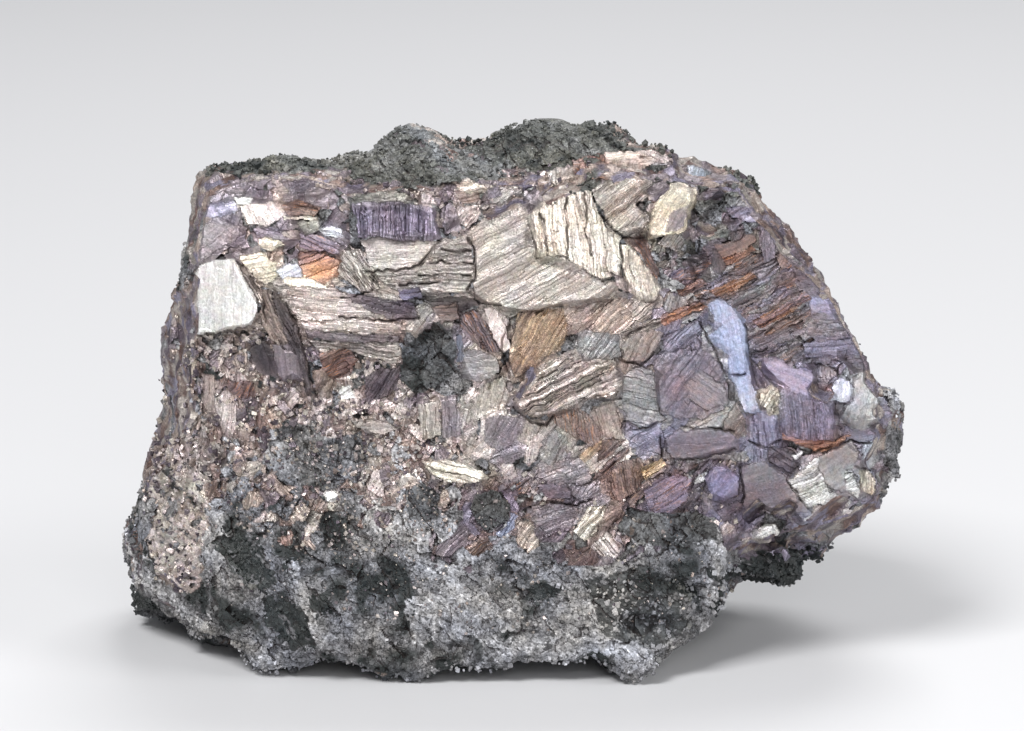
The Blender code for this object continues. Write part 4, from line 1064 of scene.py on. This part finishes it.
def side_look(points, normals):
    """Relief and look away from the front: rock with scattered metal."""
    x, y, z = points.T
    side = np.abs(normals).argmax(axis=1)
    right_of = np.where(side == 0, y, x) + 0.3 * wave(x + y, z, 1.4, 96)
    up_of = np.where(side == 2, y, z) + 0.3 * wave(x + y, z, 1.4, 97)
    number, right, up = mosaic(right_of + side * 200.0, up_of / 1.2, 1.2, 81)
    patch = rough(x + 1.7 * z, y - 0.8 * z, 9.0, 82, 3) + 0.5 * (hashed(number, 3, 83) - 0.5)
    px, py, out = to_view(points)
    facing = normals @ TOWARDS
    near_front = in_zones(px, py) & (facing > -0.2)
    metal = ((patch > 0.42) & (normals[:, 2] > -0.6)) | (near_front & (patch > -0.8))
    choice = np.where(metal, (hashed(number, 3, 84) * len(SIDE_PALETTES)).astype(int), EMPTY)
    along, across = turned(right_of, up_of, hashed(number, 3, 85) * 180.0)
    strip, piece, place, bent = layers(across, along, np.full(len(x), 0.9), np.mod(number, LAYER_SEEDS))
    tint, streak = palette_colours(SIDE_PALETTES, choice, hashed(strip, number, 86),
                                   hashed(number, 2, 87), 0.5 + 0.5 * wave(x, z, 1.6, 88))
    on_dark = inside_any(DARK_FACES, px, py) & (facing > -0.1)
    dark = ((rough(x - z, y + z, 7.0, 90, 3) > 0.55) | on_dark) & ~metal
    rock_tint, flakes = rock_look(x, y, z, upward(normals), dark, np.zeros(len(x), dtype=bool))
    tint[~metal] = rock_tint[~metal]
    streak[~metal] = rock_tint[~metal] * ROCK_STREAK
    relief = 0.22 * rough(x + y, z - y, 2.8, 91, 4) - 0.12
    relief += np.where(metal, (hashed(piece, number, 92) - 0.4) * 0.3, (hashed(number, 4, 93) - 0.5) * 0.4)
    relief += (hashed(number, 5, 94) - 0.5) * right * 0.5 + (hashed(number, 6, 95) - 0.5) * up * 0.5
    layered = np.stack([across, along * LAMELLA_STRETCH, z * 0.0], axis=1)
    finish = np.stack([np.where(metal, METALLIC, 0.0), np.where(metal, 0.38, ROCK_ROUGHNESS),
                       np.where(metal, 0.7, flakes)], axis=1)
    return relief, {"tint": tint, "streak": streak,
                    "lamella": np.where(metal[:, None], layered, points), "finish": finish}


def rock_skin(front, material):
    """The closed skin of the whole specimen, drawn back where the front's panels cover it."""
    points, normals, faces = remeshed(front.surface)
    hidden, row, column = front.cover(points, normals)
    near = unit(softened(front.used.astype(float), 4)[row, column] * 2.0 - 0.6)
    near = near * (normals @ TOWARDS > COVER_FACING)
    share = unit(softened(front.covered.astype(float), 4)[row, column] * 2.0 - 1.0) * hidden
    relief, look = side_look(points, normals)
    relief = relief * (1.0 - near) - NEAR_DEPTH * near
    relief = relief * (1.0 - share) - COVERED_DEPTH * share
    points = points + normals * relief[:, None]
    points[:, 2] = np.maximum(points[:, 2], 0.0)
    return place_piece("rock_skin", front.surface, points, faces, look, material)


# The crumbs
def random_turns(count, source):
    """Random rotations, one matrix each."""
    quarters = source.normal(size=(count, 4))
    quarters /= np.linalg.norm(quarters, axis=1, keepdims=True)
    w, x, y, z = quarters.T
    rows = [[1 - 2 * (y * y + z * z), 2 * (x * y - z * w), 2 * (x * z + y * w)],
            [2 * (x * y + z * w), 1 - 2 * (x * x + z * z), 2 * (y * z - x * w)],
            [2 * (x * z - y * w), 2 * (y * z + x * w), 1 - 2 * (x * x + y * y)]]
    return np.moveaxis(np.array(rows), 2, 0)


def scattered(surface, count, weigh, source):
    """Random places on the solid, more where they weigh more, with their normals."""
    a, b, c = (surface.points[surface.corners[:, index]] for index in range(3))
    cross = np.cross(b - a, c - a)
    double = np.linalg.norm(cross, axis=1)
    normals = cross / np.maximum(double, 1e-9)[:, None]
    weights = double * weigh((a + b + c) / 3.0, normals)
    chosen = source.choice(len(double), size=count, p=weights / weights.sum())
    r_1 = np.sqrt(source.random(count))[:, None]
    r_2 = source.random(count)[:, None]
    places = a[chosen] * (1 - r_1) + b[chosen] * r_1 * (1 - r_2) + c[chosen] * r_1 * r_2
    return places, normals[chosen]


def on_front(front, places, normals, metal):
    """Moves the places under the panels onto them, and leaves out strays and the wrong ground."""
    covers, row, column = front.cover(places, normals)
    stray = covers & (np.linalg.norm(front.points[row, column] - places, axis=1) > FARTHEST_SHIFT)
    places[covers] = front.points[row[covers], column[covers]]
    px, py, out = to_view(places)
    if metal:
        free = ~inside_any(DARK_FACES, px, py) & ~(front.metal & front.main)[row, column]
    else:
        free = ~front.metal[row, column]
    kept = (~covers | free) & ~stray
    return places[kept], normals[kept]


def blocks(places, normals, size, sink, source):
    """An angular closed block at each place, with random corners and turned at random."""
    count = len(places)
    shape = source.uniform(0.6, 1.3, size=(count, 3)) * size[:, None] * 0.5
    corner = CUBE[None] * (1.0 + source.uniform(-0.4, 0.25, size=(count, len(CUBE), 3)))
    turns = random_turns(count, source)
    centres = places + normals * (size * (0.5 - sink))[:, None]
    points = (centres[:, None] + np.einsum("nij,nkj->nki", turns, corner * shape[:, None])).reshape(-1, 3)
    points[:, 2] = np.maximum(points[:, 2], FLOOR_GAP)
    faces = (CUBE_FACES[None] + (np.arange(count) * len(CUBE))[:, None, None]).reshape(-1, 4)
    return points, faces


def crumb_colours(places, normals, metal, source):
    """Colour and streak colour of each crumb."""
    count = len(places)
    if metal:
        choice = source.integers(len(CRUMB_PALETTES), size=count)
        tint, streak = palette_colours(CRUMB_PALETTES, choice, source.random(count),
                                       source.random(count), source.random(count))
        return tint * source.uniform(0.5, 1.05, size=count)[:, None], streak
    px, py, out = to_view(places)
    top = np.maximum(upward(normals), unit((TOP_ROW - py) / TOP_FADE))
    dark = inside_any(DARK_FACES, px, py) & (normals @ TOWARDS > COVER_FACING)
    tint, flakes = rock_look(*places.T, top, dark, np.zeros(count, dtype=bool))
    return tint, tint * 0.5


def crumbs(name, front, count, weigh, sizes, sink, metal, seed, material):
    """Angular crumbs of crystal, each a closed block partly sunk in the surface."""
    source = np.random.default_rng(seed)
    places, normals = on_front(front, *scattered(front.surface, count, weigh, source), metal)
    size = sizes[0] * (sizes[1] / sizes[0]) ** (source.random(len(places)) ** 2.0)
    if metal:
        size = np.where(inside(SPRINKLED, *to_view(places)[:2]), size * SPRINKLED_SIZE, size)
    points, faces = blocks(places, normals, size, sink, source)
    colours = crumb_colours(places, normals, metal, source)
    look = {key: np.repeat(rows, len(CUBE), axis=0) for key, rows in zip(("tint", "streak"), colours)}
    look["lamella"] = points
    look["finish"] = np.tile((0.5, 0.3, 0.0) if metal else (0.0, 0.5, 0.0), (len(points), 1))
    return place_piece(name, front.surface, points, faces, look, material)


def zone_weights(names):
    """A weigher that favours the named areas of the front, and the rock next to them a little."""
    def weigh(points, normals):
        px, py, out = to_view(points)
        weights = inside(SPRINKLED, px, py) * 0.22
        for name, weight in names.items():
            weights = np.maximum(weights, inside(ZONES[name][-1], px, py) * weight)
        return weights * (normals @ TOWARDS > 0.35)
    return weigh


def rock_weights(points, normals):
    """No crumbs of rock on the metal, many on the rest of the front, fewer elsewhere."""
    px, py, out = to_view(points)
    facing = normals @ TOWARDS
    return np.where((facing > -0.6) & in_zones(px, py), 0.0, np.where(facing > 0.1, 1.0, 0.25))


# The material
def new_material(name):
    """A material, its node tree and its shader."""
    material = bpy.data.materials.new(name)
    material.use_nodes = True
    tree = material.node_tree
    return material, tree, tree.nodes["Principled BSDF"]


def node(tree, kind, inputs=(), **settings):
    """A new shader node with its settings. Its inputs get a fixed value or a link."""
    made = tree.nodes.new(kind)
    for key, value in settings.items():
        setattr(made, key, value)
    for key, value in dict(inputs).items():
        if isinstance(value, (float, tuple)):
            made.inputs[key].default_value = value
        else:
            tree.links.new(value, made.inputs[key])
    return made


def attribute(tree, name, output):
    """A layer of the mesh, as the material reads it."""
    return node(tree, "ShaderNodeAttribute", attribute_name=name).outputs[output]


def scaled_noise(tree, vector, scale, detail, roughness=0.5):
    inputs = {"Vector": vector, "Scale": scale, "Detail": detail, "Roughness": roughness}
    return node(tree, "ShaderNodeTexNoise", inputs).outputs["Fac"]


def ramp(tree, value, low, high, low_to=0.0, high_to=1.0):
    """A smooth step from one value at low to another at high."""
    inputs = {"Value": value, "From Min": low, "From Max": high, "To Min": low_to, "To Max": high_to}
    return node(tree, "ShaderNodeMapRange", inputs, interpolation_type="SMOOTHSTEP").outputs["Result"]


def mix_colour(tree, factor, first, second, blend="MIX"):
    inputs = {0: factor, 6: first, 7: second}
    return node(tree, "ShaderNodeMix", inputs, data_type="RGBA", blend_type=blend).outputs[2]


def maths(tree, operation, first, second=0.0):
    return node(tree, "ShaderNodeMath", {0: first, 1: second}, operation=operation).outputs[0]


def thin_lines(tree, vector, scale):
    """1 on the thin wandering lines where a noise crosses its middle."""
    middle = maths(tree, "SUBTRACT", scaled_noise(tree, vector, scale, 1.0), 0.52)
    return ramp(tree, maths(tree, "ABSOLUTE", middle), 0.01, 0.06, 0.6, 0.0)


def specimen_material():
    """Bismuth and rock: fine striae along each grain's layers, in colour, gloss and relief, with thin lines
    of painted shade between the layers.
    """
    material, tree, shader = new_material("bismuth_and_rock")
    lamella = attribute(tree, "lamella", "Vector")
    tint = attribute(tree, "tint", "Color")
    streak = attribute(tree, "streak", "Color")
    finish = node(tree, "ShaderNodeSeparateXYZ", {0: attribute(tree, "finish", "Vector")})
    metallic, roughness, drawn = finish.outputs
    broad = scaled_noise(tree, lamella, 3.0, 3.0)
    fine = scaled_noise(tree, lamella, 9.0, 4.0, 0.65)
    speckle = scaled_noise(tree, lamella, 6.5, 2.0, 0.6)

    # Metal, whose third finish value says how strongly its layers are drawn
    lined = maths(tree, "MULTIPLY", ramp(tree, metallic, 0.0, 0.2), drawn)
    amount = ramp(tree, drawn, 0.0, 0.6, 0.25, 0.65)
    streaked = maths(tree, "MULTIPLY", ramp(tree, fine, 0.53, 0.68), amount)
    colour = mix_colour(tree, streaked, tint, streak)
    colour = mix_colour(tree, 1.0, colour, ramp(tree, broad, 0.3, 0.7, 0.8, 1.1), "MULTIPLY")
    # Painted shade: thin dark lines in the shade colour along the layers
    lines = maths(tree, "MULTIPLY", thin_lines(tree, lamella, 4.2), lined)
    colour = mix_colour(tree, lines, colour, PAINTED_SHADE + (1.0,))

    # Grit over both, fixed to the specimen
    place = node(tree, "ShaderNodeTexCoord").outputs["Object"]
    place = node(tree, "ShaderNodeVectorMath", {0: place, "Scale": 1.0 / METRE}, operation="SCALE")
    grit = ramp(tree, scaled_noise(tree, place.outputs[0], 6.0, 3.0, 0.75), 0.33, 0.67, 0.64, 1.34)
    colour = mix_colour(tree, ramp(tree, drawn, 0.0, 0.4, 0.45, 1.0), colour, grit, "MULTIPLY")

    # Rock, whose third finish value says how thickly dark and pale flakes lie in it
    grainy = maths(tree, "MULTIPLY", ramp(tree, metallic, 0.0, 0.2, 1.0, 0.0), drawn)
    for low, high, flake in ((0.54, 0.60, ROCK_DARK), (0.36, 0.30, ROCK_PALE)):
        flakes = maths(tree, "MULTIPLY", ramp(tree, speckle, low, high), grainy)
        colour = mix_colour(tree, flakes, colour, flake + (1.0,))

    gloss = maths(tree, "ADD", roughness, ramp(tree, fine, 0.3, 0.7, -0.1, 0.12))
    bump = node(tree, "ShaderNodeBump", {"Strength": 0.6, "Distance": 0.0001, "Height": fine})
    for name, value in (("Base Color", colour), ("Metallic", metallic), ("Roughness", gloss),
                        ("Normal", bump.outputs["Normal"])):
        tree.links.new(value, shader.inputs[name])
    return material


# The studio
def linked(name, data):
    """A new object of the scene."""
    made = bpy.data.objects.new(name, data)
    bpy.context.scene.collection.objects.link(made)
    return made


def pale_floor():
    mesh = bpy.data.meshes.new("floor")
    corners = [(x * FLOOR_HALF, y * FLOOR_HALF, 0.0) for x, y in ((-1, -1), (1, -1), (1, 1), (-1, 1))]
    mesh.from_pydata(corners, [], [(0, 1, 2, 3)])
    material, tree, shader = new_material("floor")
    shader.inputs["Base Color"].default_value = (0.6, 0.6, 0.61, 1.0)
    shader.inputs["Roughness"].default_value = 0.6
    mesh.materials.append(material)
    floor = linked("floor", mesh)


def lights():
    """Soft lights and a pale surrounding."""
    world = bpy.data.worlds.new("studio")
    world.use_nodes = True
    background = world.node_tree.nodes["Background"]
    background.inputs["Color"].default_value = (0.42, 0.43, 0.46, 1.0)
    background.inputs["Strength"].default_value = 0.38
    bpy.context.scene.world = world
    for name, place, size, power in LIGHTS:
        light = bpy.data.lights.new(name, "AREA")
        light.shape = "SQUARE"
        light.size = size
        light.energy = power
        lamp = linked(name, light)
        lamp.location = place
        lamp.rotation_euler = (Vector(AIM) - Vector(place)).to_track_quat("-Z", "Y").to_euler()


def view_camera():
    """The camera of the view that the front is drawn in."""
    lens = bpy.data.cameras.new("camera")
    lens.sensor_width = SENSOR
    lens.lens = SENSOR * VIEW_DISTANCE / (VIEW_WIDTH * MM_PER_PIXEL)
    lens.clip_start = 0.01
    lens.clip_end = 20.0
    camera = linked("camera", lens)
    facing = Matrix((RIGHT, UP, TOWARDS)).transposed().to_4x4()
    camera.matrix_world = Matrix.Translation(Vector(CAMERA_PLACE) * METRE) @ facing
    bpy.context.scene.camera = camera
    bpy.context.scene.view_settings.view_transform = "Standard"


surface = Surface(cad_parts[NODE])
material = specimen_material()

front = Front(surface)
front.lay_grains()
front.lay_areas()
front.bare_rock()
front.build_layers()
front.break_rock()
front.colour_metal()
front.colour_rock()
front.open_cracks()
front.panels(material)

skin = rock_skin(front, material)
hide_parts(NODE)
crumbs("rock_crumbs", front, 14000, rock_weights, (0.14, 0.42), 0.55, False, 7, material)
on_metal = zone_weights({"left_band": 1.0, "left_side": 0.15, "granular": 1.0, "low_middle": 0.3,
                         "upper_strip": 0.3})
crumbs("metal_crumbs", front, 3400, on_metal, (0.13, 0.52), 0.5, True, 8, material)

pale_floor()
lights()
view_camera()
